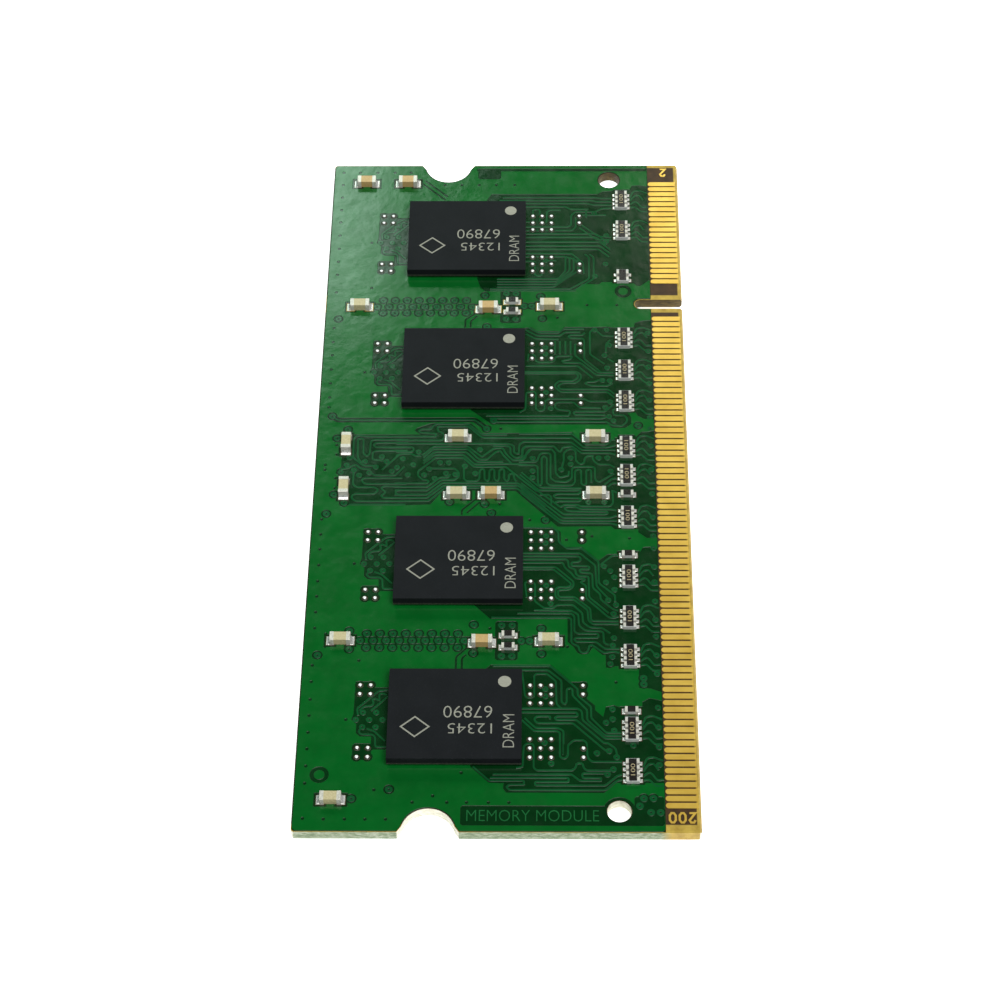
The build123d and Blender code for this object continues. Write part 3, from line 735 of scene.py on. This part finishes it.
# Tracks down the middle of the board, past the four middle capacitors.
centre_middle_routes = [comb_route()] + as_routes(
    (-3.42, 23.5, -3.38, 20.75, -2.05, 19.45, -2.1, 13.75, -4.4, 11.5),
    (-3.08, 23.5, -3.08, 20.9, -1.83, 19.6, -1.83, 13.67, -4, 11.5),
    (-2.75, 23.5, -2.75, 20.9, -1.54, 19.67, -1.58, 13.67, -3.7, 11.5),
    (-2.3, 23.5, -2.33, 20.9, -1.25, 19.75, -1.25, 18.75, -0.96, 18.4, -0.5, 18.4, -0.1, 18.75,
     -0.08, 20.67),
    (-1.96, 23.5, -1.96, 20.9, -1, 19.9, -1, 19.25, -0.7, 19.1),
    (-1.6, 23.5, -1.6, 20.9, -1.4, 20.8, -1.25, 21, -1.25, 21.3, -0.9, 21.67, -0.4, 21.7, 1, 20.3, 1, 18.1,
     0.08, 17.25, 0.08, 14.67, -2.4, 12.2),
    (0.4, 21.3, 1.3, 20.4, 1.3, 18.1, 0.33, 17.2, 0.4, 14.5, 0.3, 13),
    (0.67, 21.3, 1.6, 20.4, 1.6, 17.9, 0.6, 17, 0.6, 14.9),
    (1, 21.3, 1.9, 20.5, 1.9, 17.75, 0.83, 16.83, 0.83, 16.17, 1.67, 15.4, 1.7, 15.1, 1.17, 14.83,
     0.5, 14.25),
    (1.25, 21.4, 2.17, 20.5, 2.17, 17.75, 1.08, 16.6, 2, 15.6, 2, 14.9, 1.4, 14.67, 0.75, 14.1, 0.8, 13.5,
     1.25, 13.1, 1.8, 12.67),
    (2.25, 15.7, 2.25, 14.67, 2.1, 14.3, 1.4, 14.3, 1.04, 14, 1, 13.67, 1.3, 13.3, 1.9, 13.3, 2.25, 13),
    (2.46, 23.5, 2.46, 14.5, 2.2, 14, 1.5, 14, 1.4, 13.6, 2.3, 13.6, 2.67, 13.3, 2.67, 11.5),
    (2.8, 23.5, 2.8, 19.9, 3, 19.67, 3.4, 19.67, 3.6, 19.9, 3.75, 20.2, 4.25, 20.25, 4.25, 17.75, 3.08, 16.6,
     3.04, 11.5),
    (3.2, 23.5, 3.2, 20.4, 3.35, 20.3, 3.5, 20.4, 3.6, 21.6, 3.8, 21.8, 3.96, 21.5, 3.96, 20.75, 4.3, 20.6,
     4.55, 20.3, 4.5, 17.75, 3.4, 16.6, 3.4, 14.6),
    (1.6, 23.5, 1.6, 22.3, 1.75, 22.1, 1.95, 22.1, 2.1, 22.3, 2.1, 23.5),
    (1.2, 23.5, 1.4, 23.2, 1.4, 22.25, 1.2, 22, 1.2, 21.5),
)

# Tracks from the middle of the board to its long free edge.
centre_high_routes = as_routes(
    (-3.75, 27.1, -3.75, 22.6),
    (-3.42, 22.6, -3.42, 26.6, -3.17, 26.9, -2.87, 26.9, -2.67, 26.65, -2.67, 25.1, -2.4, 24.86, -2.2, 24.86,
     -2, 25.2, -2, 26.6, -1.75, 26.86, -0.4, 26.86),
    (-3.08, 22.6, -3.08, 24.4, -2.87, 24.6, -2.7, 24.36, -2.5, 24.2, -2.3, 24.44, -2.1, 24.6, -1.9, 24.36,
     -1.96, 22.6),
    (-2.8, 22.6, -2.8, 23.2, -2.5, 23.5, -2.3, 23.2, -2.3, 22.6),
    (-1.67, 22.6, -1.67, 25.94, -1.33, 26.2, -1.08, 26, -1.08, 22.94),
    (-0.6, 25.4, -0.8, 25.2, -0.8, 23.5, 0.08, 22.8),
    (-0.2, 25.5, -0.15, 26.27, 0.3, 26.77, -0.08, 27.36, -0.17, 27.94, -0.5, 28),
    (0.17, 25.27, 0.17, 26.1, 0.8, 26.77, 1, 26.98, 3, 26.98, 3.33, 26.7, 3.2, 25.9, 3.2, 22.6),
    (0.5, 26.27, 0.96, 26.6, 2.9, 26.65, 3, 26.4, 2.9, 26.2, 1.4, 26.15, 1.2, 25.95, 1.2, 25.8, 1.4, 25.65,
     2.67, 25.6, 2.87, 25.36, 2.87, 22.6),
    (1.75, 22.6, 1.7, 25.2, 1.5, 25.4, 0.8, 25.4, 0.7, 24.5),
    (2.08, 22.6, 2.08, 25.2, 2.33, 25.4, 2.54, 25.15, 2.54, 22.6),
    (-0.25, 24.6, 0.8, 23.7, 1.4, 23.2, 1.4, 22.6),
)

# Tracks on the contact side of the third package.
third_chip_routes = as_routes(
    (4.75, 15.5, 4.75, 6.5, 4.4, 6.2, 4.3, 5.27, 4.75, 4.85, 5.17, 4.85, 5.45, 5.1, 5.45, 5.93, 6, 6,
     6.08, 5.77),
    (5.1, 16, 5.1, 6.85, 5.25, 6.5),
    (5.4, 16.3, 5.4, 9.6, 5.58, 9.48, 5.9, 9.48, 6.04, 10.5, 6.25, 10.7, 6.6, 10.7, 6.8, 10.5, 6.8, 9.2,
     6.25, 8.7, 6.2, 7),
    (5.45, 6.6, 5.5, 9.1, 5.67, 9.2, 5.83, 9.1, 5.83, 6.6, 6.58, 5.93),
    (5.75, 13.6, 6.08, 13.1, 7.83, 13.06, 7.96, 12.4, 7.75, 12.27, 6.1, 12.27, 5.83, 12, 6, 11.56,
     6.9, 11.53, 7.17, 11.27, 7.17, 8.35, 6.9, 7.93, 6.9, 6.35),
    (7.3, 5.85, 7.9, 6.43, 7.9, 10.27, 8.4, 10.7, 8.7, 10.7, 9.1, 10.35, 9.1, 9.2, 9.4, 8.8, 9.7, 8.8,
     9.9, 9, 9.9, 13.2),
    (7.67, 5.85, 8.2, 6.35, 8.2, 10.27, 8.5, 10.5, 8.87, 10.1, 8.87, 9, 9.3, 8.56, 9.75, 8.56, 10.08, 8.93,
     10.08, 13.2),
    (8.83, 6, 8.58, 6.35, 8.58, 7.77, 8.8, 8.27, 9, 8, 9, 7.43, 9.2, 7.1),
    (10.7, 13.1, 10.7, 8.85, 9.4, 7.6),
    (12, 12.9, 11.25, 12.95),
    (12, 12.6, 11.8, 12.35, 11.25, 12.3, 11.08, 12.1, 11.1, 11, 11.25, 10.77, 11.75, 10.6, 11.8, 9.43,
     11.67, 9.27, 11.45, 9.43, 11.25, 10.14, 11.08, 10, 11.04, 8.6, 9.75, 7.35, 9.7, 5.9),
    (13.1, 8.9, 13.04, 9.04, 11.83, 9.04, 10, 7.2, 10, 5.9),
    (14.33, 8.2, 14.08, 8.43, 14.08, 9.43, 13.9, 9.6, 13.75, 9.43, 13.7, 8.43, 13.5, 8.27, 11.45, 8.27,
     10, 6.9),
    (14.6, 7.6, 14.4, 7.8, 11.95, 7.8, 10.9, 6.6),
    (14.17, 13.1, 13.67, 12.35, 13.6, 10.4),
    (14.6, 13.1, 14, 12.2, 14, 10.27, 14.4, 9.85, 14.4, 8.6),
    (14.9, 12.9, 14.33, 12.1, 14.33, 10.4, 14.75, 10, 14.75, 8.27),
    (14.5, 7.2, 14, 6.77, 13.95, 5.85),
    (12.2, 6.47, 13.1, 6.47, 13.5, 6.1),
    (11.1, 5.85, 11.5, 6.35),
) + [pairs(12, y, 13.4, y) for y in (10.7, 10.28, 9.83, 9.4)]


def fourth_chip_routes():
    """Tracks on the contact side of the fourth package."""
    routes = [pairs(x, 13.2, x, end, x - 0.9, end - 0.9) for x, end in
              ((25.6, 7.2), (25.2, 7.2), (24.65, 6.9), (24.2, 6.9), (23.8, 7))]
    routes += [pairs(x, 15.6, x, 10.4 + step * 0.12, 21.3, y, 22.8, y) for step, (x, y) in
               enumerate(((20.4, 9.8), (20.1, 9.45), (19.8, 9.1), (19.5, 8.75)))]
    routes += [pairs(x, 16.2, x, 9.4 - step * 0.3, 20.4, y, 22.86, y, 23.2, y + 0.35) for step, (x, y) in
               enumerate(((19.25, 7.8), (19.05, 7.4)))]
    routes += as_routes(
        (26.66, 8.45, 25.3, 7, 25.2, 5.9),
        (26.3, 8.6, 24.95, 7.2, 24.9, 5.9),
        (28.36, 8, 27.5, 8),
        (23.3, 13.2, 23.3, 9.3, 22.2, 8.3, 21, 8.25),
        (22.95, 13.2, 22.95, 9.9, 22.6, 8.95, 21.4, 8.6),
        (26, 13.2, 26, 9.2, 26.4, 8.9, 27.5, 8.9, 27.8, 8.6, 27.8, 6.3),
        (26.4, 13.2, 26.4, 9.6, 26.6, 9.3, 27.8, 9.3, 28.2, 8.9, 28.2, 7.2, 28.6, 6.6, 28.6, 5.8),
        (29.2, 15.5, 29.2, 8, 29, 7.4, 29, 5.8),
        (29.55, 15.5, 29.55, 7.6, 29.4, 7.2, 29.4, 5.8),
        (29.9, 15.2, 29.9, 7.2, 29.8, 6.8, 29.8, 5.8),
        (28.8, 13.5, 28.8, 9.8, 28.5, 9.4, 28.5, 7.8),
        (27, 13.2, 27, 12.6, 28.4, 12.6, 28.5, 12.3, 28.4, 12, 27, 12, 26.8, 11.7, 27, 11.4, 28.2, 11.4,
         28.4, 11.1, 28.4, 10.2),
        (22.4, 13.2, 22.4, 12.4, 20.8, 12.4, 20.7, 12.1, 20.8, 11.8, 22.3, 11.8, 22.5, 11.5, 22.5, 10.6),
    )
    return routes

# Short tracks between each package and the board's free edge, from the package's centre.
above_chip_routes = as_routes(
    (-2.3, 23.3, -2.3, 24.1, -1.4, 24.15, -1.2, 24.4, -1.2, 25.2, -1, 25.4, -0.5, 25.2),
    (-1.8, 23.4, -0.9, 24.25, -0.7, 24.8),
    (0.5, 25.5, 1.1, 25.6, 2.7, 24, 2.8, 23.3),
    (0.9, 25.4, 1.3, 25.1, 1.35, 24.5, 1.6, 24.35, 1.9, 24.5, 2, 24.3, 1.8, 23.9, 2.3, 24, 2.5, 23.8,
     2.3, 23.4),
    (0.9, 24.55, 2.2, 23.3),
)

# Four short tracks from each resistor array to the ends of the contacts, from the array's centre.
fan_out_routes = as_routes(
    (0.42, 4.2, 1.2, 3.9, 1.34, 3.43, 0.99, 2.72),
    (0.07, 4.2, 0.7, 3.78, 0.77, 3.43, 0.2, 3.07),
    (-0.35, 4.2, 0, 3.78, -0.14, 3.55, -0.7, 3.19, -0.63, 2.72),
    (-0.7, 4.2, -0.63, 3.78, -1.2, 3.3, -1.2, 2.72),
)


def all_routes():
    """Every track on one face."""
    routes = first_chip_routes + second_chip_routes + third_chip_routes + fourth_chip_routes()
    routes += centre_low_routes + centre_middle_routes + centre_high_routes
    for x in chip_xs:
        routes += [shift(route, x) for route in above_chip_routes]
    for x in array_xs:
        routes += [shift(route, x) for route in fan_out_routes]
    return routes


def ringed_vias():
    """Vias that pass through the poured copper inside a cleared ring."""
    places = pairs(-18.25, 28.85, -30.2, 22.95, -17.7, 26.45, -16, 26.5, -31, 25.7, 15.85, 28.85,
        -18.05, 16.95, -15.4, 16.95, -18.3, 14.8, -18.3, 14, -15.45, 14.8, -15.45, 14, -16.9, 13.3,
        -16.9, 12.65, -18.1, 11.75, -15.75, 11.75, 15, 16.4, 18.5, 16.6, 15.85, 14.8, 15.85, 14, 18.7, 14.8,
        18.7, 14, 17.3, 13.3, 17.3, 12.65, 15.9, 11.75, 18.4, 11.9, -3.6, 27.5, -2.75, 28.35, -4.7, 28.85,
        3, 28.35, 3.9, 27.5, 5.3, 28.85, -3.5, 19.1, -3.7, 16.3, -4.6, 15.75, 4, 16.25, 4.85, 15.7,
        -5.3, 11.45, -32.1, 3.7, -32.1, 3, -30.9, 4.2, -30.9, 3.5, -31.55, 4.5, 4.35, 3.95, -20.85, 4,
        -20.3, 4)
    for step in range(8):
        places += [(x, 25.15 - step) for x in (-17.55, -16.25, 16.52, 17.92)]
    for step in range(9):
        places += [(x, 25.65 - step) for x in (-16.9, 17.2)]
    return places


def track_vias():
    """Vias where tracks change layer, in the cleared areas."""
    places = pairs(-27.9, 11, -26.1, 11.5, -27, 7.6, -28.85, 6.85, -28.4, 6.4, -26.8, 6.7, -27.35, 6.15,
        -25, 6.3, -24.3, 6.9, -24, 6.4, -23.1, 6.4, -26.3, 4.9, -19, 6.5, -18.35, 6.35, -17.3, 6.3,
        -16.6, 6.2, -14.35, 6.2, -13.5, 6, -13.05, 6.6, -12.05, 6.1, -11.35, 6.75, -10.85, 6.1, -10.25, 6.4,
        -9.8, 6.9, -21.95, 11.45, -21.3, 11.45, -13.4, 11.05, -11.65, 11.4, -7.55, 11.45, -6.85, 11.4,
        -3.5, 8.05, -3.5, 6.8, -0.35, 6.25, -1, 12.5, -0.35, 12.5, 0.95, 12.5, -0.2, 10.2, 0.35, 9.45,
        1, 9.45, 1, 7.2, 1, 6.5, -0.75, 22.5, 0.3, 22.1, 0, 23.4, 0.9, 22.95, 1.6, 21.7, -0.75, 21.2,
        -0.15, 20.8, -1.1, 20.35, 0.5, 19.95, -0.6, 19.45, 0.5, 19.25, -0.7, 18.7, 0.15, 17.95, -0.6, 17.1,
        1.85, 16.75, -0.5, 27.9, 0.25, 27.45, 1, 27.25, -0.25, 26.85, -0.8, 26.4, 0.6, 26, -0.55, 25.6,
        0.05, 25.1, 1.1, 24.65, 0.6, 24.25, -0.4, 23.8, 4.85, 5.95, 5.3, 6.3, 6.25, 6.6, 6.85, 6.2,
        9.15, 6.8, 9.1, 6.2, 10.5, 6.4, 6.15, 11.05, 7.85, 11.45, 11.85, 6.6, 12.95, 6.2, 14.65, 7.4,
        14.65, 6.4, 12, 11.5, 12.7, 11.5, 20.7, 7.3, 22.1, 6.4, 24.7, 6.3, 25.4, 6.3, 28, 7.3, 22.5, 11.5)
    above = pairs(0.1, 25.65, -0.55, 25.15, 0.75, 25.15, 0.1, 24.65, -0.55, 24.15, 0.75, 24.15, 0.1, 23.65)
    for x in chip_xs:
        places += shift(above, x)
    near_contacts = (-28, -26.45, -24.7, -22.95, -19.9, -18.2, -16.45, -14.9, -13.15, -11.3, -9.85, -8.05,
                     -6.85, -5, -2.65, -0.2, 2.25, 4.05, 5.2, 7.05, 8.8, 10.6, 12.3, 14.3)
    return places + [(x, 2.98) for x in near_contacts]


def tented_vias():
    """Small vias tied to the poured copper, most of them along the board's edges."""
    edge_xs = (-32.7, -29.7, -28.2, -26.7, -25.25, -23.75, -22.3, -20.7, -19.2, -15.75, -14.25, -12.75, -11.3,
               -9.75, -8.2, -6.75, -5.25, -0.25, 0.25, 6.25, 7.3, 8.8, 10.3, 11.85, 13.3, 14.85, 18.85, 20.85,
               22.35, 23.85, 25.4, 26.95, 28.4, 29.9, 31.4, 32.9)
    places = [(x, 29.18) for x in edge_xs]
    places += [(-32.75, y) for y in (27.65, 26.1, 24.6, 23.1)]
    places += [(32.9, y) for y in (27.75, 26.2, 24.7, 23.3)]
    places += [(31.4, y) for y in (20.3, 18.8, 17.3, 15.8, 14.2)]
    places += pairs(-30.25, 24.05, -17.45, 28.3, -16.3, 28.3, -18.75, 25.65, -31.3, 21.2, -30.75, 19.7,
        -31.3, 18.65, -28.75, 17.65, -31.3, 17.2, -31.3, 15.6, -31.3, 14.1, -20.7, 6.1, -17.45, 9.75,
        -5.3, 12.7, -7.25, 9.8, -6.9, 7.8, -7.1, 4.85, -15.75, 15.7, 19.35, 26.2, 17.4, 8, 17.4, 5.5,
        16, 10.5, -2.1, 28.3, -1.1, 28.3, 1.3, 28.3, 2.3, 28.35, -3.7, 15.1, 4, 15.1)
    return places + [(x + 0.1, 26.4) for x in chip_xs]


def islands(node):
    """The x and y extents of each separate piece of a CAD node."""
    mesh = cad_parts[node].data
    owner = list(range(len(mesh.vertices)))

    def root_of(item):
        while owner[item] != item:
            owner[item] = owner[owner[item]]
            item = owner[item]
        return item

    for edge in mesh.edges:
        first, second = (root_of(vertex) for vertex in edge.vertices)
        owner[first] = second
    groups = {}
    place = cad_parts[node].matrix_world
    for vertex in mesh.vertices:
        groups.setdefault(root_of(vertex.index), []).append(place @ vertex.co)
    extents = []
    for points in groups.values():
        xs = [point.x / mm for point in points]
        ys = [point.y / mm for point in points]
        extents.append((min(xs), max(xs), min(ys), max(ys)))
    return extents


def land_outlines(node, margin):
    """Cleared outlines round the lands, round ones for the round lands."""
    outlines = []
    for low_x, high_x, low_y, high_y in islands(node):
        wide, deep = high_x - low_x, high_y - low_y
        if abs(wide - deep) < 0.02 and wide < widest_round_land:
            outlines.append(circle((low_x + high_x) / 2, (low_y + high_y) / 2, wide / 2 + margin, 14))
        else:
            xs, ys = (low_x - margin, high_x + margin), (low_y - margin, high_y + margin)
            outlines.append(box_outline(*xs, *ys, 0.05))
    return outlines


def board_pour():
    """The poured copper's outline, set back from the board's edges."""
    end = half_length - pour_inset
    return [box_outline(-end, end, pour_low_y, board_width - pour_inset, 0.2)]

# Narrow channels through the poured copper.
pour_channels = as_routes(
    (-19.5, 18.25, -18.4, 18.25, -17.4, 17.3), (-19.5, 17.8, -18.5, 17.8, -18.2, 17.5),
    (14.9, 18.2, 15.8, 18.2, 16.5, 17.3), (14.9, 17.75, 15.6, 17.75, 16.2, 17.2),
    (-4.8, 18.1, -4.3, 18.1, -3, 16.8), (-4.6, 17.7, -3.5, 16.7),
    (29.6, 20.2, 31.6, 22.3), (30, 20, 31.9, 22),
)


def board_openings():
    """Outlines a little larger than the notches, their mouths, the tooling holes and the key slot."""
    end, notch_y, notch_radius = 33.8, 20, 2.10
    hole_x, hole_y, hole_radius = 32, 6, 1.0
    openings = [circle(x, notch_y, notch_radius, 48) for x in (-end, end)]
    openings += [circle(x, hole_y, hole_radius, 32) for x in (-hole_x, hole_x)]
    mouth = pairs(-34, 17.5, -33.8, 17.62, -33.3, 17.98, -33.3, 22.02, -33.8, 22.38, -34, 22.5)
    key_slot = box_outline(16.93, 18.17, 2.0, 4.12, 0.35)
    return openings + [mouth, [(-x, y) for x, y in mouth], key_slot]


def add_face_copper(name, lands, side):
    """Poured copper, tracks and vias on one face, as the mask drapes over them."""
    lone_track = pairs(5.3, 28.85, 4.9, 28.4, 4.95, 17.25, 4.25, 16.5, 4, 16.25)
    clear = dark_regions() + land_outlines(lands, land_gap)
    clear += [ribbon(route, channel_width) for route in pour_channels] + [ribbon(lone_track, wide_channel)]
    raised = [ribbon(route, track_width) for route in all_routes() + [lone_track]]
    drills = land_outlines(lands, land_window_gap) + board_openings()
    for x, y in ringed_vias():
        clear.append(circle(x, y, ring_gap_radius, 16))
        raised.append(circle(x, y, ring_radius, 16))
        drills.append(circle(x, y, ring_drill, 8))
    for x, y in track_vias():
        raised.append(circle(x, y, via_radius, 14))
        drills.append(circle(x, y, via_drill, 8))
    for x, y in tented_vias():
        drills.append(circle(x, y, dimple_radius, 10))
    fiducials = pairs(-28.95, 28.15, 18.95, 4.95)
    for x, y in fiducials:
        clear.append(circle(x, y, fiducial_gap_radius, 24))
    discs = [circle(x, y, fiducial_radius, 20) for x, y in fiducials]
    regions = cut_regions(board_pour(), clear, raised, discs, drills)
    return relief(name, regions, side, [mask_copper, mask_track, mask_slope])


# ---------------------------------------------------------------- markings

def flat_text(text, low, high, turn):
    """The outline of a line of text as a thin closed mesh that fills a box, in millimetres."""
    curve = bpy.data.curves.new("marking", "FONT")
    curve.body = text
    curve.resolution_u = 3
    curve.extrude = 0.05
    curve.offset = -0.012
    holder = bpy.data.objects.new("marking", curve)
    mesh = bpy.data.meshes.new_from_object(holder)
    shape = bmesh.new()
    shape.from_mesh(mesh)
    bmesh.ops.remove_doubles(shape, verts=shape.verts, dist=1e-5)
    bmesh.ops.rotate(shape, verts=shape.verts, matrix=Matrix.Rotation(math.radians(turn), 3, "Z"))
    corners = [[vert.co[axis] for vert in shape.verts] for axis in (0, 1, 2)]
    for axis in (0, 1, 2):
        start, end = min(corners[axis]), max(corners[axis])
        for vert in shape.verts:
            vert.co[axis] = low[axis] + (vert.co[axis] - start) / (end - start) * (high[axis] - low[axis])
    bpy.data.objects.remove(holder)
    bpy.data.meshes.remove(mesh)
    return shape


def prism(outline, hole, low_z, high_z):
    """A thin flat shape with an optional opening that has as many points as its outline."""
    shape = bmesh.new()
    rings = [[shape.verts.new((x, y, z)) for x, y in points] for points in (outline, hole) if points
             for z in (low_z, high_z)]
    count = len(outline)
    for index in range(count):
        after = (index + 1) % count
        low, high = rings[0], rings[1]
        shape.faces.new((low[index], low[after], high[after], high[index]))
        if hole:
            inner_low, inner_high = rings[2], rings[3]
            shape.faces.new((inner_low[after], inner_low[index], inner_high[index], inner_high[after]))
            shape.faces.new((high[index], high[after], inner_high[after], inner_high[index]))
            shape.faces.new((low[after], low[index], inner_low[index], inner_low[after]))
    if not hole:
        shape.faces.new(rings[1])
        shape.faces.new(rings[0][::-1])
    return shape


def add_marks(name, shapes, material):
    """Several flat shapes as one printed piece."""
    joined = bmesh.new()
    for shape in shapes:
        part = bpy.data.meshes.new("part")
        shape.to_mesh(part)
        joined.from_mesh(part)
        bpy.data.meshes.remove(part)
        shape.free()
    bmesh.ops.scale(joined, verts=joined.verts, vec=(mm, mm, mm))
    mesh = bpy.data.meshes.new(name)
    joined.to_mesh(mesh)
    joined.free()
    mesh.materials.append(material)
    return add_piece(name, mesh)


# On a package, from its centre: each row's text, x and y extents and turn, and the diamond and the dot.
package_rows = [("DRAM", -3.0, -0.1, -4.45, -3.6, 0), ("12345", -1.8, -0.9, -2.8, 0.5, 90),
                ("67890", -0.4, 0.65, -2.8, 0.85, 90)]
diamond_place, diamond_reach, diamond_stretch = (-1.2, 2.95), (0.95, 0.80), 1.2
dot_place, dot_radius = (2.85, -3.7), 0.5


def diamond_outline(x, y, reach):
    """A diamond, longer across the board than along it."""
    return [(x + math.cos(turn) * reach, y + math.sin(turn) * reach * diamond_stretch)
            for turn in (0, math.pi / 2, math.pi, 3 * math.pi / 2)]


def add_package_marks():
    """Generic marks on each package: a word, two rows of digits, a diamond and the pin-one dot."""
    for index in range(1, 9):
        low, high = (Vector(corner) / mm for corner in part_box(f"memory_chip_{index}_mould"))
        even = index <= 4
        side = 1 if even else -1
        face = high.z if even else low.z
        zs = sorted((face - ink_depth * side, face + ink_depth * side))
        x, y = (low.x + high.x) / 2, (low.y + high.y) / 2
        shapes = [flat_text(text, (x + x0, y + y0, zs[0]), (x + x1, y + y1, zs[1]), turn)
                  for text, x0, x1, y0, y1, turn in package_rows]
        outer, inner = (diamond_outline(x + diamond_place[0], y + diamond_place[1], reach)
                        for reach in diamond_reach)
        shapes.append(prism(outer, inner, *zs))
        dot = prism(circle(x + dot_place[0], y + dot_place[1], dot_radius, 32), None, *zs)
        if not even:
            for shape in shapes + [dot]:
                bmesh.ops.transform(shape, verts=shape.verts, matrix=Matrix.Translation((2 * x, 0, 0))
                                    @ Matrix.Diagonal((-1, 1, 1, 1)))
                bmesh.ops.reverse_faces(shape, faces=shape.faces)
        add_marks(f"package_marking_{index}", shapes, chip_ink)
        add_marks(f"pin_one_dot_{index}", [dot], dot_ink)


def add_resistor_digits():
    """A generic value on each resistor array of the even face; the middle ones are the other way up."""
    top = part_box("resistor_overcoats_even")[1][2] / mm
    reach_x, reach_y = 0.5, 0.16
    shapes = []
    for x in array_xs:
        turn = 180 if -6 < x < 3 else 0
        low = (x - reach_x, array_row_y - reach_y, top - ink_depth)
        high = (x + reach_x, array_row_y + reach_y, top + ink_depth)
        shapes.append(flat_text("100", low, high, turn))
    add_marks("resistor_digits", shapes, digit_ink)


def add_strip_text():
    """Raised generic lettering under the mask beside the near short end."""
    zs = (face_z - relief_sink, face_z + relief_height)
    low_x, high_x, low_y, high_y = -32.88, -31.92, 7.5, 17.2
    text = flat_text("MEMORY MODULE", (low_x, low_y, zs[0]), (high_x, high_y, zs[1]), -90)
    add_marks("strip_lettering", [text], mask_letter)


# ---------------------------------------------------------------- camera, light and table

def add_camera():
    """The camera, above the near short end and looking down along the board."""
    yaw, pitch, roll = map(math.radians, camera_angles)
    forward = Vector((math.cos(yaw) * math.cos(pitch), -math.sin(yaw) * math.cos(pitch), -math.sin(pitch)))
    level = Vector((-math.sin(yaw), -math.cos(yaw), 0.0))
    rise = level.cross(forward)
    right = level * math.cos(roll) + rise * math.sin(roll)
    up = rise * math.cos(roll) - level * math.sin(roll)
    camera = bpy.data.cameras.new("camera")
    camera.lens = camera_lens
    camera.sensor_width = 36.0
    camera.clip_start = 0.01
    camera.clip_end = 10.0
    holder = bpy.data.objects.new("camera", camera)
    turn = Matrix((right, up, -forward)).transposed()
    holder.matrix_world = Matrix.Translation(Vector(camera_place) * mm) @ turn.to_4x4()
    bpy.context.scene.collection.objects.link(holder)
    bpy.context.scene.camera = holder


def add_area_light(name, place, target, size, power, colour):
    """A soft rectangular light, in millimetres, turned towards a target."""
    light = bpy.data.lights.new(name, "AREA")
    light.shape = "RECTANGLE"
    light.size, light.size_y = size[0] * mm, size[1] * mm
    light.energy = power
    light.color = colour
    holder = bpy.data.objects.new(name, light)
    aim = (Vector(target) - Vector(place)).to_track_quat("-Z", "Y")
    holder.rotation_euler = aim.to_euler()
    holder.location = Vector(place) * mm
    bpy.context.scene.collection.objects.link(holder)


def add_studio():
    """A plain pale table, a white room and soft boxes."""
    world = bpy.data.worlds.new("studio")
    world.use_nodes = True
    world.node_tree.nodes["Background"].inputs["Color"].default_value = (1.0, 1.0, 1.0, 1.0)
    world.node_tree.nodes["Background"].inputs["Strength"].default_value = 0.02
    bpy.context.scene.world = world
    bpy.context.scene.view_settings.view_transform = "Standard"

    material, tree, shader = new_material("table_top")
    colour = tones(tree, noise(tree, 0.02, 2.0), (0.92, 0.92, 0.92), (0.95, 0.95, 0.95))
    tree.links.new(colour, shader.inputs["Base Color"])
    set_shader(shader, Roughness=0.8, Emission_Color=(1.0, 1.0, 1.0, 1.0), Emission_Strength=1.0)
    mesh = bpy.data.meshes.new("table_top")
    reach = 1.5
    corners = [(-reach, -reach), (reach, -reach), (reach, reach), (-reach, reach)]
    mesh.from_pydata([(x, y, table_z * mm) for x, y in corners], [], [(0, 1, 2, 3)])
    mesh.materials.append(material)
    table = bpy.data.objects.new("table_top", mesh)
    bpy.context.scene.collection.objects.link(table)

    sky = bpy.data.lights.new("high_sun", "SUN")
    sky.energy = 3.25
    sky.angle = math.radians(35)
    holder = bpy.data.objects.new("high_sun", sky)
    holder.rotation_euler = Vector((0.45, 0.25, -1.0)).to_track_quat("-Z", "Y").to_euler()
    bpy.context.scene.collection.objects.link(holder)
    add_area_light("far_softbox", (288, 142, 200), (288, 142, 0), (190, 200), 0.86, (0.74, 1.0, 0.86))
    add_area_light("contact_softbox", (270, -75, 200), (270, -75, 0), (160, 110), 0.30, (1.0, 0.97, 0.88))


add_camera()
add_studio()
dress_nodes()
add_face_copper("mask_over_copper_even", "copper_lands_even", 1)
add_face_copper("mask_over_copper_odd", "copper_lands_odd", -1)
add_package_marks()
add_resistor_digits()
add_strip_text()
